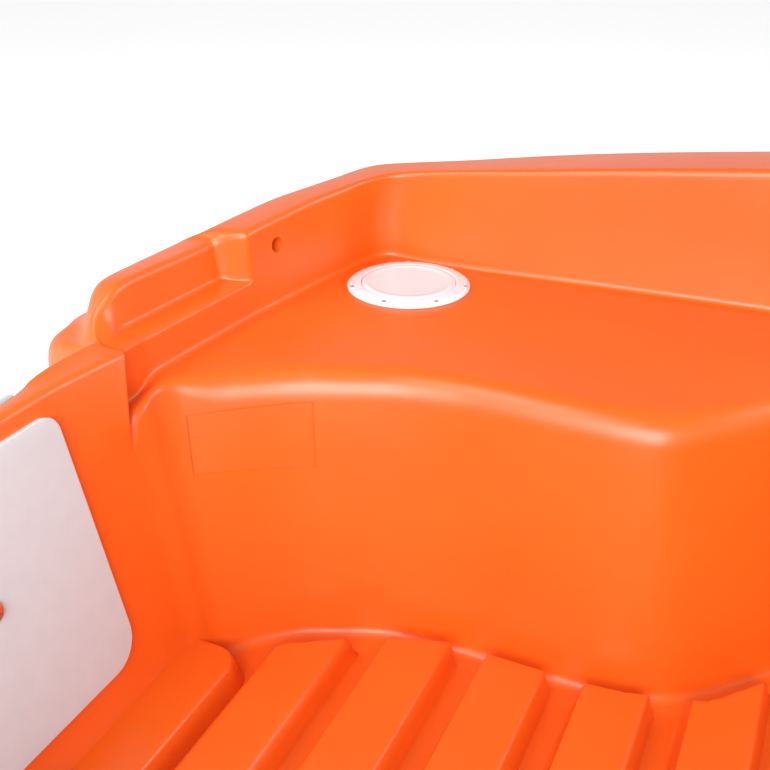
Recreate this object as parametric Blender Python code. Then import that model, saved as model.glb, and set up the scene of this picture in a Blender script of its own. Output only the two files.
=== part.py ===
"""Rigid dinghy: a double-skin moulded plastic boat with its fittings.

The hull is one rotomoulded shell, modelled as the solid between its outer skin and its
liner.  It is a lofted ring: at each frame round the boat a section runs from the bottom,
up the topside, over the gunwale and down into the cockpit.  Metres, +X forward, +Y to
port, +Z up, and the origin lies under the middle of the boat on the surface it stands on.
"""
import bpy
import bmesh
import numpy as np
from math import radians, tan, sin, cos, pi, atan2
from mathutils import Matrix, Vector

# Driving dimensions
GAP = 0.0003                 # between pieces that touch
BENCH_Z = 0.400              # top of the stern benches
FLOOR_Z = 0.100              # cockpit floor
KEEL_Z = 0.008               # underside of the keels, above their wear strips
TUNNEL_Z = 0.078             # crest of the tunnels between the keels
TRANSOM_Z = 0.446            # top of the transom
ROCKER_X, STEM_X = 0.40, 1.65   # the bottom sweeps up between these
ROCKER_RISE = 0.46
RAKE = radians(12.8)         # the transom leans aft
TRANSOM_IN = -1.654          # inner top edge of the transom
TRANSOM_OUT = -1.684         # outer top edge of the transom
LEDGE_Z = 0.441              # ledge at the foot of the recess in the stern wall
RECESS = 0.034               # depth of that recess
STERN_X = -1.840             # aft end of the two floats
SHELF_Z = 0.420              # top of the floats behind the stern wall
SHELF_RISE, SHELF_RUN = 0.015, 0.120        # it lies higher beside the transom, by this much
SHEER_Z = 0.529              # inner gunwale edge abreast of the hatch
SHEER_X = -1.461
SHEER_SLOPE = 0.098          # rise of the gunwale per metre forward
RIM = 0.104                  # width of the gunwale top round the bow
WALL_LEAN = 0.008            # the inner wall leans out by this much up to the gunwale
ROLL_DROP = 0.052            # depth of the rolled gunwale
ROLL_IN = 0.022              # how far the topside sits in under it
FACE_DRAFT = radians(9)      # batter of the bench fronts
HATCH_X, HATCH_Y = -1.513, 0.630
HATCH_R = 0.076              # outer radius of the hatch ring
COVER_R = 0.058
WELL_R = 0.0605              # hole through the bench under the ring
WELL_DEPTH = 0.170
PAD_W, PAD_H, PAD_T = 0.302, 0.262, 0.006   # inner clamp board
OUTER_PAD_W = 0.288          # the outer board is narrower
PAD_TOP, OUTER_PAD_TOP = 0.429, 0.4425      # heights of their top edges
STRIP_W = 0.050
CENTRE_LINE = ((-1.557, 0.0), (0.380, 0.0))
KEEL_LINE = ((-1.745, 0.510), (0.300, 0.585))   # the keels spread a little forward
ROWLOCK_X, ROWLOCK_Y = -0.330, 0.800
ROWLOCK_SINK = 0.0015        # the socket's flange is let into the gunwale by this much
THWART_X, THWART_L, THWART_T = 0.050, 0.290, 0.048
SHEER_ANGLE = 0.0977         # the gunwale's rise as an angle
HOLE_R = 0.0075              # rope hole through the stern wall
HOLE_AT = (-1.627, 0.520, 0.470)
DRAIN_Z = 0.140
STERN_EYE_AT = (-1.8166, 0.520, 0.312)
STERN_EYE_OUT = (-0.980, 0, 0.200)
BOW_EYE_AT = (1.610, 0.0, 0.520)
BOW_EYE_OUT = (0.746, 0, -0.666)
EYE_W, EYE_L, EYE_R = 0.034, 0.078, 0.014   # plate of an eye and its corners
HANDLE_AT = (1.593, 0.549, 0.8290)
HANDLE_OUT = (-0.057, 0.071, 0.996)
HANDLE_ALONG = (0.806, -0.592, 0.0)
HANDLE_HALF = 0.085          # from its middle to each foot
FOOT_W, FOOT_L = 0.034, 0.046


def rim_z(x):
    """Height of the gunwale's inner edge: a straight sheer rising forward."""
    return SHEER_Z + SHEER_SLOPE * (x - SHEER_X)


def raked(x_top, z):
    """X on a face that leans aft with the transom and passes x_top at the transom top."""
    return x_top + (TRANSOM_Z - z) * tan(RAKE)


# Frames round the port half of the boat, from the middle of the transom to the stem
TRANSOM_FRAMES = (
    # y of the top edge, of the inner face, of its foot and of the bottom's edge, height of the
    # outer top edge, swell of the inner face
    (0.000, 0.000, 0.000, 0.000, 0.436, 0.0), (0.145, 0.143, 0.139, 0.145, 0.436, 0.0),
    (0.165, 0.162, 0.157, 0.168, 0.450, 0.0), (0.244, 0.224, 0.213, 0.256, 0.449, 0.009),
    (0.252, 0.231, 0.217, 0.266, 0.446, 0.012),
)
SLOT_FRAMES = (
    # y, end of the float, outer top edge, its height, wall top, y and height of the wall foot,
    # bench tip, foot of the inner face, bottom's edge
    (0.256, -1.722, -1.690, 0.446, 0.448, (0.236, 0.386), (-1.631, 0.240, 0.385), (-1.572, 0.225),
     (-1.590, 0.286)),
    (0.262, -1.764, -1.702, 0.445, 0.453, (0.250, 0.385), (-1.629, 0.255, 0.393), (-1.568, 0.237),
     (-1.690, 0.292)),
    (0.278, -1.784, -1.714, 0.451, 0.466, (0.274, 0.386), (-1.633, 0.273, 0.400), (-1.563, 0.246),
     (-1.735, 0.300)),
)
WING = (
    # y, wall foot, bench edge, foot of the bench front, wall top, outer top edge, end of the
    # float, recess
    (0.296, (-1.651, 0.297), (-1.629, 0.289), (-1.552, 0.260), 0.480, -1.721, -1.806, 1.0),
    (0.314, (-1.649, 0.316), (-1.606, 0.304), (-1.544, 0.274), 0.487, -1.729, -1.816, 1.0),
    (0.350, (-1.647, 0.351), (-1.570, 0.329), (-1.532, 0.289), 0.487, -1.730, -1.827, 1.0),
    (0.420, (-1.641, 0.421), (-1.537, 0.351), (-1.512, 0.307), 0.486, -1.729, -1.835, 1.0),
    (0.453, (-1.638, 0.454), (-1.516, 0.362), (-1.494, 0.319), 0.486, -1.728, -1.838, 1.0),
    (0.462, (-1.637, 0.463), (-1.508, 0.366), (-1.486, 0.323), 0.487, -1.727, -1.839, 1.0),
    (0.470, (-1.636, 0.471), (-1.497, 0.370), (-1.476, 0.328), 0.497, -1.705, STERN_X, 0.0),
    (0.480, (-1.635, 0.481), (-1.484, 0.376), (-1.464, 0.333), 0.500, -1.700, STERN_X, 0.0),
    (0.545, (-1.625, 0.545), (-1.443, 0.394), (-1.427, 0.349), 0.503, -1.692, STERN_X, 0.0),
    (0.600, (-1.617, 0.602), (-1.415, 0.402), (-1.403, 0.356), 0.506, -1.683, STERN_X, 0.0),
)
CORNER = (
    # outer edge, inner top edge, wall foot, bench edge, end of the float, wall top
    ((-1.653, 0.700), (-1.609, 0.645), (-1.608, 0.656), (-1.385, 0.407), (-1.828, 0.722), 0.508),
    ((-1.634, 0.763), (-1.586, 0.711), (-1.594, 0.722), (-1.360, 0.410), (-1.780, 0.784), 0.512),
    ((-1.594, 0.774), (-1.535, 0.724), (-1.530, 0.718), (-1.335, 0.411), (-1.670, 0.806), 0.517),
)
SIDE = (
    # outer edge, wall foot, bench edge
    ((-1.490, 0.792), (-1.470, 0.714), (-1.290, 0.411)),
    ((-1.390, 0.824), (-1.380, 0.719), (-1.240, 0.411)),
    ((-1.270, 0.843), (-1.270, 0.726), (-1.190, 0.411)),
    ((-1.160, 0.851), (-1.160, 0.730), (-1.150, 0.415)),
    ((-1.090, 0.854), (-1.090, 0.732), (-1.105, 0.452)),
    ((-1.000, 0.857), (-1.000, 0.733), (-1.020, 0.545)),
    ((-0.900, 0.859), (-0.900, 0.734), (-0.935, 0.616)),
    ((-0.780, 0.861), (-0.780, 0.735), (-0.800, 0.630)),
    ((-0.400, 0.862), (-0.400, 0.736), (-0.400, 0.630)),
    ((0.000, 0.860), (0.000, 0.734), (0.000, 0.628)),
    ((0.400, 0.845), (0.400, 0.719), (0.400, 0.612)),
    ((0.750, 0.818), (0.740, 0.692), (0.600, 0.600)),
)
BOW = (
    ((1.050, 0.790), (0.970, 0.664), (0.720, 0.560)),
    ((1.310, 0.744), (1.120, 0.618), (0.800, 0.470)),
    ((1.540, 0.662), (1.240, 0.530), (0.855, 0.360)),
    ((1.710, 0.534), (1.315, 0.410), (0.880, 0.250)),
    ((1.805, 0.360), (1.350, 0.275), (0.888, 0.150)),
    ((1.838, 0.165), (1.362, 0.130), (0.890, 0.060)),
    ((1.842, 0.000), (1.364, 0.000), (0.890, 0.000)),
)
TREADS, TREAD_X, TREAD_PITCH, TREAD_L, TREAD_H = 21, -1.501, 0.1025, 0.070, 0.033
TREAD_EDGE = (
    # half width of the tread bars along the floor
    (-1.501, 0.264), (-1.428, 0.308), (-1.394, 0.326), (-1.330, 0.346), (-1.150, 0.350),
    (-1.070, 0.375), (-0.960, 0.500), (-0.890, 0.548), (-0.400, 0.552), (0.400, 0.536),
    (0.560, 0.500), (0.680, 0.400), (0.760, 0.220),
)
FLOOR_MARGIN = 0.030         # strip of floor between the bench fronts and the flat sole
BOTTOM_Y = 0.745             # half breadth of the bottom at the stern
CHINE_IN = 0.075             # the chine lies this far inside the gunwale
STEM_IN = 0.36               # and the bottom ends this far aft of the stem head


def unit(v):
    """Each row of v scaled to length one."""
    return v / np.linalg.norm(v, axis=-1, keepdims=True)


def inward(points):
    """Unit normals of a plan polyline, pointing to the inside of the boat."""
    step = np.gradient(points, axis=0)
    return unit(np.stack([step[:, 1], -step[:, 0]], axis=1))


def bottom_z(across, x):
    """Underside of the hull: three keels with tunnels between, rising to the bow.

    across is 0 on the middle line and 1 at the chine.  The tunnel is a raised cosine
    between the keels, and forward of ROCKER_X the whole bottom sweeps up to the stem.
    """
    across = np.abs(across)
    crest = TUNNEL_Z - KEEL_Z
    inner = np.clip((across - 0.07) / 0.26, 0, 1)
    outer = np.clip((across - 0.40) / 0.26, 0, 1)
    chine = np.clip((across - 0.80) / 0.20, 0, 1)
    wave = 0.5 - 0.5 * np.cos(pi * inner) - (0.5 - 0.5 * np.cos(pi * outer))
    fade = 1 - 0.8 * np.clip((x - 0.3) / 1.0, 0, 1)
    run = np.clip((x - ROCKER_X) / (STEM_X - ROCKER_X), 0, 1.2)
    return KEEL_Z + crest * (wave + 0.9 * chine ** 1.5) * fade + ROCKER_RISE * run ** 2.2


def frame_controls():
    """Control points of every section, port half: an array of frames x 13 points x XYZ.

    The points run B0 bottom, B1 chine, S2 topside, S1 under the roll, T2 lower and T3
    upper edge of the roll, I1 inner gunwale edge, I2 and I3 inner and outer edge of the
    ledge, I4 foot of the wall, I5 bench edge, I6 foot of the bench front, F floor.
    """
    rows = []
    for y, face_y, foot_y, low_y, outer_z, swell in TRANSOM_FRAMES:
        low = float(bottom_z(low_y / BOTTOM_Y, STERN_X))
        rows.append([
            (raked(TRANSOM_OUT, low) + 0.045, low_y, low), (raked(TRANSOM_OUT, low), y, low + 0.01),
            (raked(TRANSOM_OUT, 0.18), y, 0.18), (raked(TRANSOM_OUT, 0.30), y, 0.30),
            (raked(TRANSOM_OUT, 0.40), y, 0.40), (raked(TRANSOM_OUT, outer_z), y, outer_z),
            (TRANSOM_OUT + 0.008, y, 0.6 * TRANSOM_Z + 0.4 * outer_z), (TRANSOM_IN - 0.012, y, TRANSOM_Z),
            (TRANSOM_IN + swell, y, TRANSOM_Z), (raked(TRANSOM_IN, 0.385) + swell, face_y, 0.385),
            (raked(TRANSOM_IN, 0.345) + 0.6 * swell, (face_y + foot_y) / 2, 0.345),
            (raked(TRANSOM_IN, FLOOR_Z), foot_y, FLOOR_Z), (raked(TRANSOM_IN, FLOOR_Z), foot_y, FLOOR_Z)])
    for y, end, outer, outer_z, top, (wall_y, wall_z), tip, foot, under in SLOT_FRAMES:
        low = float(bottom_z(under[1] / BOTTOM_Y, STERN_X))
        rows.append([
            (under[0], under[1], low), (end + 0.028, y, low + 0.01), (end, y, 0.20),
            (end + 0.012, y, SHELF_Z + 0.008), (outer - 0.008, y, SHELF_Z + 0.016), (outer, y, outer_z),
            (outer + 0.012, y, top), (TRANSOM_IN - 0.022, y, LEDGE_Z + 0.002),
            (TRANSOM_IN + 0.002, y, LEDGE_Z + 0.002), (TRANSOM_IN + 0.003, wall_y, wall_z), tip,
            (foot[0], foot[1], FLOOR_Z), (foot[0], foot[1], FLOOR_Z)])
    for y, wall, edge, foot, top, outer, end, recess in WING:
        low_y = max(y, 0.5 * y + 0.165)
        low = float(bottom_z(low_y / BOTTOM_Y, STERN_X))
        ledge = wall[0] - 0.002
        back = ledge - RECESS * recess
        crest = top - 0.004 - 0.5 * max(0.0, 0.312 - y)
        shelf = SHELF_Z + SHELF_RISE * max(0.0, 1 - (y - WING[0][0]) / SHELF_RUN)
        rows.append([
            (end + 0.075, low_y, low), (end + 0.026, y, low + 0.01), (end, y, 0.20),
            (end + 0.045, y, shelf), (outer - 0.008, y, shelf + 0.008), (outer, y, crest),
            (back - 0.003 - 0.003 * recess, y, top), (back, y, LEDGE_Z), (ledge, y, LEDGE_Z),
            (wall[0], wall[1], BENCH_Z), (edge[0], edge[1], BENCH_Z), (foot[0], foot[1], FLOOR_Z),
            (foot[0], foot[1], FLOOR_Z)])
    rows += [corner_row(*plan) for plan in CORNER]
    rows += [loft_row(*plan) for plan in SIDE + BOW]
    return square_side(np.array(rows))


def corner_row(outer, inner, wall, edge, end, top):
    """A section through the stern corner, where the float stands out from the gunwale."""
    outer, inner, wall, end = np.array(outer), np.array(inner), np.array(wall), np.array(end)
    along = unit(wall - end)
    low = float(bottom_z(1.0, end[0])) + 0.01
    plan = (end + along * 0.075, end + along * 0.026, end, end + along * 0.045, outer - along * 0.008,
            outer, inner)
    heights = (low - 0.01, low, 0.20, SHELF_Z, SHELF_Z + 0.012, top - 0.004, top)
    rows = [(*place, height) for place, height in zip(plan, heights)]
    for share in (0.12, 0.24):
        rows.append((*(inner + (wall - inner) * share), top + (BENCH_Z - top) * share))
    return rows + [(*wall, BENCH_Z), (*edge, BENCH_Z), (*edge, FLOOR_Z), (*edge, FLOOR_Z)]


def loft_row(outer, wall, edge):
    """A section of the side or bow from its three plan points.

    The points that depend on the gunwale's direction are filled in by square_side.
    """
    x, y = outer
    rim = rim_z(x)
    skin = [(x, y, rim)] * 4 + [(x, y, rim - ROLL_DROP), (x, y, rim - 0.002)]
    liner = [(x, y, rim)] * 3 + [(*wall, BENCH_Z), (*edge, BENCH_Z), (*edge, FLOOR_Z), (*edge, FLOOR_Z)]
    return skin + liner


def square_side(rows):
    """Fill in the skin and the gunwale of the side and bow, and the bench fronts.

    The roll, topside and chine lie inward of the gunwale by fixed steps along its plan
    normal.  The inner gunwale edge stands over the wall along the side, and lies a fixed
    width in from the outer edge round the bow.  The bench front spreads by its draft.
    """
    corner = len(TRANSOM_FRAMES) + len(SLOT_FRAMES) + len(WING)
    first = corner + len(CORNER)
    last = first + len(SIDE)
    plan = rows[:, 5, :2]
    normal = inward(plan)
    wall_normal = inward(rows[:, 9, :2])
    edge_normal = inward(rows[:, 10, :2])
    for i in range(first, len(rows)):
        x = rows[i, 5, 0]
        bow = np.clip((x - 0.7) / 1.14, 0, 1)
        chine = CHINE_IN + STEM_IN * bow ** 2 * abs(normal[i, 0])
        for k, inset in enumerate((chine + 0.05, chine, 0.5 * chine, ROLL_IN)):
            rows[i, k, :2] = plan[i] + normal[i] * inset
        low = float(bottom_z(1.0, rows[i, 1, 0])) + 0.01
        under = rim_z(x) - ROLL_DROP - 0.014
        for k, height in enumerate((low - 0.01, low, low + 0.45 * (under - low), under)):
            rows[i, k, 2] = height
        rows[i, 6, :2] = rows[i, 9, :2] - wall_normal[i] * WALL_LEAN
        if i >= last:
            rows[i, 6, :2] = plan[i] + normal[i] * RIM
        wall = rows[i, 9] - rows[i, 6]
        rows[i, 7] = rows[i, 6] + wall * 0.12
        rows[i, 8] = rows[i, 6] + wall * 0.24
    spread = (BENCH_Z - FLOOR_Z) * tan(FACE_DRAFT)
    rows[corner:, 11, :2] = rows[corner:, 10, :2] + edge_normal[corner:] * spread
    foot = rows[:, 11, :2]
    rows[:, 12, :2] = foot + inward(foot) * FLOOR_MARGIN
    return rows


# How far the rounding of each control point reaches along its two sides
SOFTEN = (0, 0.030, 0.060, 0.036, 0.014, 0.016, 0.010, 0.006, 0.007, 0.012, 0.030, 0.028, 0)
CORNER_STEPS = (1, 2, 2, 2, 2, 3, 2, 1, 2, 2, 3, 2, 1)
EVEN = (0, 2, 9, 10, 11, 15, 16)   # stern frames with none between them and the next
FAN_ROWS = 8                 # sections whose floor points lie along the transom


def spline(controls, places):
    """Uniform quadratic B-spline through rows of controls, read at fractional row numbers.

    The first and last rows lie on the middle plane, so the row before the first is the
    second row mirrored in Y, and likewise after the last.
    """
    mirror = np.array([1, -1, 1])
    padded = np.concatenate([controls[1:2] * mirror, controls, controls[-2:-1] * mirror])
    row = np.minimum(np.floor(places + 0.5).astype(int), len(controls) - 1)
    t = (places - row + 0.5)[:, None, None]
    return (0.5 * (1 - t) ** 2 * padded[row] + (0.5 + t * (1 - t)) * padded[row + 1]
            + 0.5 * t ** 2 * padded[row + 2])


def round_section(points):
    """Each control point but the ends becomes a short parabola between its two sides."""
    out = [points[:, 0]]
    for k in range(1, points.shape[1] - 1):
        here = points[:, k]
        back = points[:, k - 1] - here
        ahead = points[:, k + 1] - here
        reach_back = np.minimum(SOFTEN[k] / np.maximum(np.linalg.norm(back, axis=1), 1e-6), 0.45)[:, None]
        reach_ahead = np.minimum(SOFTEN[k] / np.maximum(np.linalg.norm(ahead, axis=1), 1e-6), 0.45)[:, None]
        start = here + back * reach_back
        end = here + ahead * reach_ahead
        for t in np.linspace(0, 1, CORNER_STEPS[k]):
            out.append((1 - t) ** 2 * start + 2 * t * (1 - t) * here + t * t * end)
    out.append(points[:, -1])
    return np.stack(out, axis=1)


def frame_places(count):
    """Where sections are taken: every half frame aft, and as many round the bow.

    The flat transom and the long straight side take whole frames.
    """
    corner = len(TRANSOM_FRAMES) + len(SLOT_FRAMES) + len(WING)
    last_side = corner + len(CORNER) + len(SIDE) - 1
    straight = last_side - 4
    stern = np.array([i + half for i in range(corner) for half in (0, 0.5) if not half or i not in EVEN])
    side = np.concatenate([np.arange(corner, straight, 0.5), np.arange(straight, last_side)])
    bow = np.linspace(last_side, count - 1, len(stern) + 1)
    return np.concatenate([stern, side, bow]), len(stern), len(side)


def hull_mesh():
    """Vertices and faces of the hull: the ring of sections, the bottom and the floor."""
    controls = frame_controls()
    places, n_stern, n_side = frame_places(len(controls))
    port = round_section(spline(controls, places))
    port[0, :, 1] = 0
    port[-1, :, 1] = 0
    share = np.ones(len(port))
    share[:n_stern + 1] = port[:n_stern + 1, 0, 1] / port[n_stern, 0, 1]
    share[-n_stern - 1:] = share[:n_stern + 1][::-1]
    port[:, 0, 2] = bottom_z(share, port[:, 0, 0])
    star = port[-2:0:-1] * np.array([1, -1, 1])
    ring = np.concatenate([port, star])
    around, along = ring.shape[:2]
    verts = ring.reshape(-1, 3).tolist()
    faces = []
    for i in range(around):
        j = (i + 1) % around
        for k in range(along - 1):
            faces.append((i * along + k, i * along + k + 1, j * along + k + 1, j * along + k))
    faces += floor_faces(around, along)
    add_bottom(verts, faces, port[:, 0], share[:n_stern + 1], n_stern, n_side, around, along)
    return verts, faces


def floor_faces(around, along):
    """The floor: a fan over the transom's straight edge, then strips from side to side."""
    port = [i * along + along - 1 for i in range(around // 2 + 1)]
    star = [(around - i) % around * along + along - 1 for i in range(around // 2 + 1)]
    first = FAN_ROWS
    faces = [(port[0], port[first], star[first])]
    for i in range(first - 1):
        faces.append((port[i], port[i + 1], port[first]))
        faces.append((star[i], star[first], star[i + 1]))
    for i in range(first, around // 2 - 1):
        faces.append((port[i], port[i + 1], star[i + 1], star[i]))
    faces.append((port[-2], port[-1], star[-2]))
    return faces


def add_bottom(verts, faces, rim, share, n_stern, n_side, around, along):
    """The underside: a patch between the stern, the side and the bow part of the rim.

    A cross line near the transom takes up the steps of the floats; forward of it the
    patch is a Coons patch, the blend of its four edges.
    """
    n_aft = 2 * len(CORNER)
    cross = n_stern + n_aft
    side = rim[cross:n_stern + n_side + 1]
    bow = rim[:n_stern + n_side - 1:-1]
    stern = rim[:n_stern + 1]
    line = np.stack([np.full_like(share, side[0, 0]), share * side[0, 1]], axis=1)
    rows = []
    for r in range(n_aft):
        row = stern[:, :2] + (line - stern[:, :2]) * r / n_aft
        row[-1] = rim[n_stern + r, :2]
        rows.append(row)
    rows.append(line)
    n_u = len(side) - 1
    axis_end = bow[0, 0]
    for i in range(1, n_u):
        u = i / n_u
        along_side = side[i, :2]
        centre = np.array([side[0, 0] + u * (axis_end - side[0, 0]), 0.0])
        ruled = (1 - u) * line + u * bow[:, :2]
        v = share[:, None]
        edge = (1 - v) * centre + v * along_side
        base = (1 - v) * ((1 - u) * line[0] + u * bow[0, :2]) + v * ((1 - u) * line[-1] + u * bow[-1, :2])
        rows.append(ruled + edge - base)
    index = []
    for r, row in enumerate(rows):
        port_ids = []
        for j, (x, y) in enumerate(row):
            if r == 0:
                port_ids.append(j * along)
            elif j == n_stern:
                port_ids.append((n_stern + r) * along)
            else:
                port_ids.append(len(verts))
                verts.append([x, y, float(bottom_z(share[j], x))])
        star_ids = []
        for j in range(n_stern, 0, -1):
            if r == 0:
                star_ids.append((around - j) % around * along)
            elif j == n_stern:
                star_ids.append((around - n_stern - r) * along)
            else:
                x, y = row[j]
                star_ids.append(len(verts))
                verts.append([x, -y, float(bottom_z(share[j], x))])
        index.append(star_ids + port_ids)
    tip = n_stern + n_side
    bow_port = [(tip + j) * along for j in range(n_stern + 1)][::-1]
    bow_star = [(around - tip - j) % around * along for j in range(n_stern)]
    index.append(bow_star + bow_port)
    for a, b in zip(index[:-1], index[1:]):
        for j in range(len(a) - 1):
            quad = []
            for v in (a[j], a[j + 1], b[j + 1], b[j]):
                if v not in quad:
                    quad.append(v)
            if len(quad) > 2:
                faces.append(quad)


def finish_mesh(name, verts, faces, material, angle=35.0):
    """An object of the given mesh, with its faces turned outward and shaded smooth."""
    mesh = bpy.data.meshes.new(name)
    mesh.from_pydata(verts, [], faces)
    work = bmesh.new()
    work.from_mesh(mesh)
    bmesh.ops.recalc_face_normals(work, faces=work.faces)
    work.to_mesh(mesh)
    work.free()
    mesh.shade_smooth()
    mesh.set_sharp_from_angle(angle=radians(angle))
    mesh.materials.append(material)
    thing = bpy.data.objects.new(name, mesh)
    bpy.context.collection.objects.link(thing)
    return thing


def plastic(name, colour, roughness, metallic=0.0):
    """A Principled material of one colour, given as linear red, green and blue."""
    made = bpy.data.materials.new(name)
    made.use_nodes = True
    shader = made.node_tree.nodes["Principled BSDF"]
    shader.inputs["Base Color"].default_value = (*colour, 1)
    shader.inputs["Roughness"].default_value = roughness
    shader.inputs["Metallic"].default_value = metallic
    return made


def tidy_normals(work):
    """Turn every face of a closed mesh outward."""
    bmesh.ops.recalc_face_normals(work, faces=work.faces)


def from_bmesh(name, work, material, angle=35.0):
    """An object from a finished bmesh."""
    tidy_normals(work)
    mesh = bpy.data.meshes.new(name)
    work.to_mesh(mesh)
    work.free()
    mesh.shade_smooth()
    mesh.set_sharp_from_angle(angle=radians(angle))
    mesh.materials.append(material)
    thing = bpy.data.objects.new(name, mesh)
    bpy.context.collection.objects.link(thing)
    return thing


def turned(profile, steps, closed=False):
    """A solid of revolution about Z from (radius, height) points.

    An open profile starts and ends on the axis, and a closed one is a ring's section.
    """
    work = bmesh.new()
    rings = []
    for radius, height in profile:
        if radius < 1e-6:
            rings.append([work.verts.new((0, 0, height))] * steps)
            continue
        turn = [2 * pi * i / steps for i in range(steps)]
        rings.append([work.verts.new((radius * cos(a), radius * sin(a), height)) for a in turn])
    pairs = list(zip(rings, rings[1:] + rings[:1])) if closed else list(zip(rings, rings[1:]))
    for low, high in pairs:
        for i in range(steps):
            j = (i + 1) % steps
            corners = []
            for vert in (low[i], low[j], high[j], high[i]):
                if vert not in corners:
                    corners.append(vert)
            if len(corners) > 2:
                work.faces.new(corners)
    return work


def rounded_outline(width, height, radius, steps):
    """A rectangle about the origin with a radius for its two upper and two lower corners."""
    points = []
    for sx, sy, start in ((1, 1, 0), (-1, 1, 90), (-1, -1, 180), (1, -1, 270)):
        r = radius[0] if sy > 0 else radius[1]
        for i in range(steps + 1):
            a = radians(start + 90 * i / steps)
            points.append((sx * (width / 2 - r) + r * cos(a), sy * (height / 2 - r) + r * sin(a)))
    return points


def plate(outline, thick, bevel=0.0):
    """A flat plate of an outline in XY, from z = 0 up to its thickness, top edge bevelled."""
    work = bmesh.new()
    base = work.faces.new([work.verts.new((x, y, 0)) for x, y in outline])
    lifted = bmesh.ops.extrude_face_region(work, geom=[base])
    top = [v for v in lifted["geom"] if isinstance(v, bmesh.types.BMVert)]
    bmesh.ops.translate(work, verts=top, vec=(0, 0, thick))
    if bevel > 0:
        rim = [e for e in work.edges if all(v in top for v in e.verts)]
        bmesh.ops.bevel(work, geom=rim, offset=bevel, segments=2, profile=0.5, affect="EDGES")
    return work


def swept(path, radius, sides):
    """A round bar along a smooth path of points, capped at both ends."""
    path = [Vector(p) for p in path]
    work = bmesh.new()
    rings = []
    side = None
    for i, here in enumerate(path):
        ahead = (path[min(i + 1, len(path) - 1)] - path[max(i - 1, 0)]).normalized()
        if side is None:
            side = ahead.orthogonal().normalized()
        side = (side - ahead * side.dot(ahead)).normalized()
        other = ahead.cross(side)
        turn = [2 * pi * k / sides for k in range(sides)]
        ring = [work.verts.new(here + radius * (cos(a) * side + sin(a) * other)) for a in turn]
        rings.append(ring)
    for low, high in zip(rings, rings[1:]):
        for k in range(sides):
            work.faces.new((low[k], low[(k + 1) % sides], high[(k + 1) % sides], high[k]))
    work.faces.new(rings[0])
    work.faces.new(rings[-1])
    return work


def merge(works):
    """Several bmeshes as one."""
    whole = bmesh.new()
    for work in works:
        scratch = bpy.data.meshes.new("scratch")
        tidy_normals(work)
        work.to_mesh(scratch)
        work.free()
        whole.from_mesh(scratch)
        bpy.data.meshes.remove(scratch)
    return whole


def moved(work, matrix):
    """The bmesh after a transform."""
    bmesh.ops.transform(work, matrix=matrix, verts=work.verts)
    return work


def hide(thing):
    """Mark an object as a cutter or guide."""
    thing.hide_render = True
    thing.display_type = "WIRE"


def cut(thing, work, name):
    """Cut a closed mesh out of an object with a live difference."""
    cutter = from_bmesh(name, work, thing.data.materials[0])
    hide(cutter)
    difference = thing.modifiers.new(name, "BOOLEAN")
    difference.operation = "DIFFERENCE"
    difference.solver = "EXACT"
    difference.object = cutter


def on_face(point, out, up):
    """A transform that lays XY on a face: its Z along out and its Y as near up as it can."""
    z = Vector(out).normalized()
    x = Vector(up).cross(z).normalized()
    y = z.cross(x)
    turn = Matrix((x, y, z)).transposed().to_4x4()
    return Matrix.Translation(Vector(point)) @ turn


RAKED_OUT = (cos(RAKE), 0.0, sin(RAKE))


def transom_pads(board):
    """The clamp boards on the inner and outer face of the transom."""
    slope = PAD_H / 2 * cos(RAKE)
    middle = PAD_TOP - slope
    point = Vector((raked(TRANSOM_IN, middle), 0, middle)) + Vector(RAKED_OUT) * GAP
    outline = rounded_outline(PAD_W, PAD_H, (0.018, 0.034), 5)
    place = on_face(point, RAKED_OUT, (0, 0, 1))
    from_bmesh("transom_pad_inner", moved(plate(outline, PAD_T, 0.0012), place), board)
    middle = OUTER_PAD_TOP - slope
    outline = rounded_outline(OUTER_PAD_W, PAD_H, (0.003, 0.034), 5)
    back = Vector((-cos(RAKE), 0, -sin(RAKE)))
    point = Vector((raked(TRANSOM_OUT, middle), 0, middle)) + back * GAP
    place = on_face(point, back, (0, 0, 1))
    from_bmesh("transom_pad_outer", moved(plate(outline, PAD_T, 0.0012), place), board)


def hatch(side, sign, white):
    """One deck hatch: its ring on the bench and the screw-in cover, on its own axis."""
    z = BENCH_Z + GAP
    ring = [(WELL_R - 0.0006, z - 0.020), (WELL_R - 0.0006, z), (HATCH_R, z), (HATCH_R, z + 0.0025),
            (HATCH_R - 0.003, z + 0.0055), (COVER_R + 0.003, z + 0.0065), (COVER_R + 0.0005, z + 0.0055),
            (COVER_R + 0.0005, z + 0.0015), (WELL_R - 0.006, z + 0.0015), (WELL_R - 0.006, z - 0.020)]
    place = Matrix.Translation((HATCH_X, sign * HATCH_Y, 0))
    from_bmesh(f"hatch_ring_{side}", moved(turned(ring, 48, closed=True), place), white)
    low = z + 0.0018
    cover = [(0, low - 0.012), (WELL_R - 0.0085, low - 0.012), (WELL_R - 0.0085, low), (COVER_R, low),
             (COVER_R, low + 0.003), (COVER_R - 0.0015, low + 0.0045), (COVER_R - 0.008, low + 0.0050),
             (0.030, low + 0.0042), (0, low + 0.0040)]
    lid = from_bmesh(f"hatch_cover_{side}", turned(cover, 48), white)
    lid.location = (HATCH_X, sign * HATCH_Y, 0)


def centre_thwart(grey):
    """The removable seat across the boat, a moulded plank that rests on the side ledges."""
    half = 0.700
    outline = rounded_outline(THWART_L, THWART_T, (0.020, 0.010), 4)
    work = plate(outline, 2 * half)
    turn = on_face((THWART_X, half, BENCH_Z + GAP + THWART_T / 2), (0, -1, 0), (0, 0, 1))
    from_bmesh("centre_thwart", moved(work, turn), grey)


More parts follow.
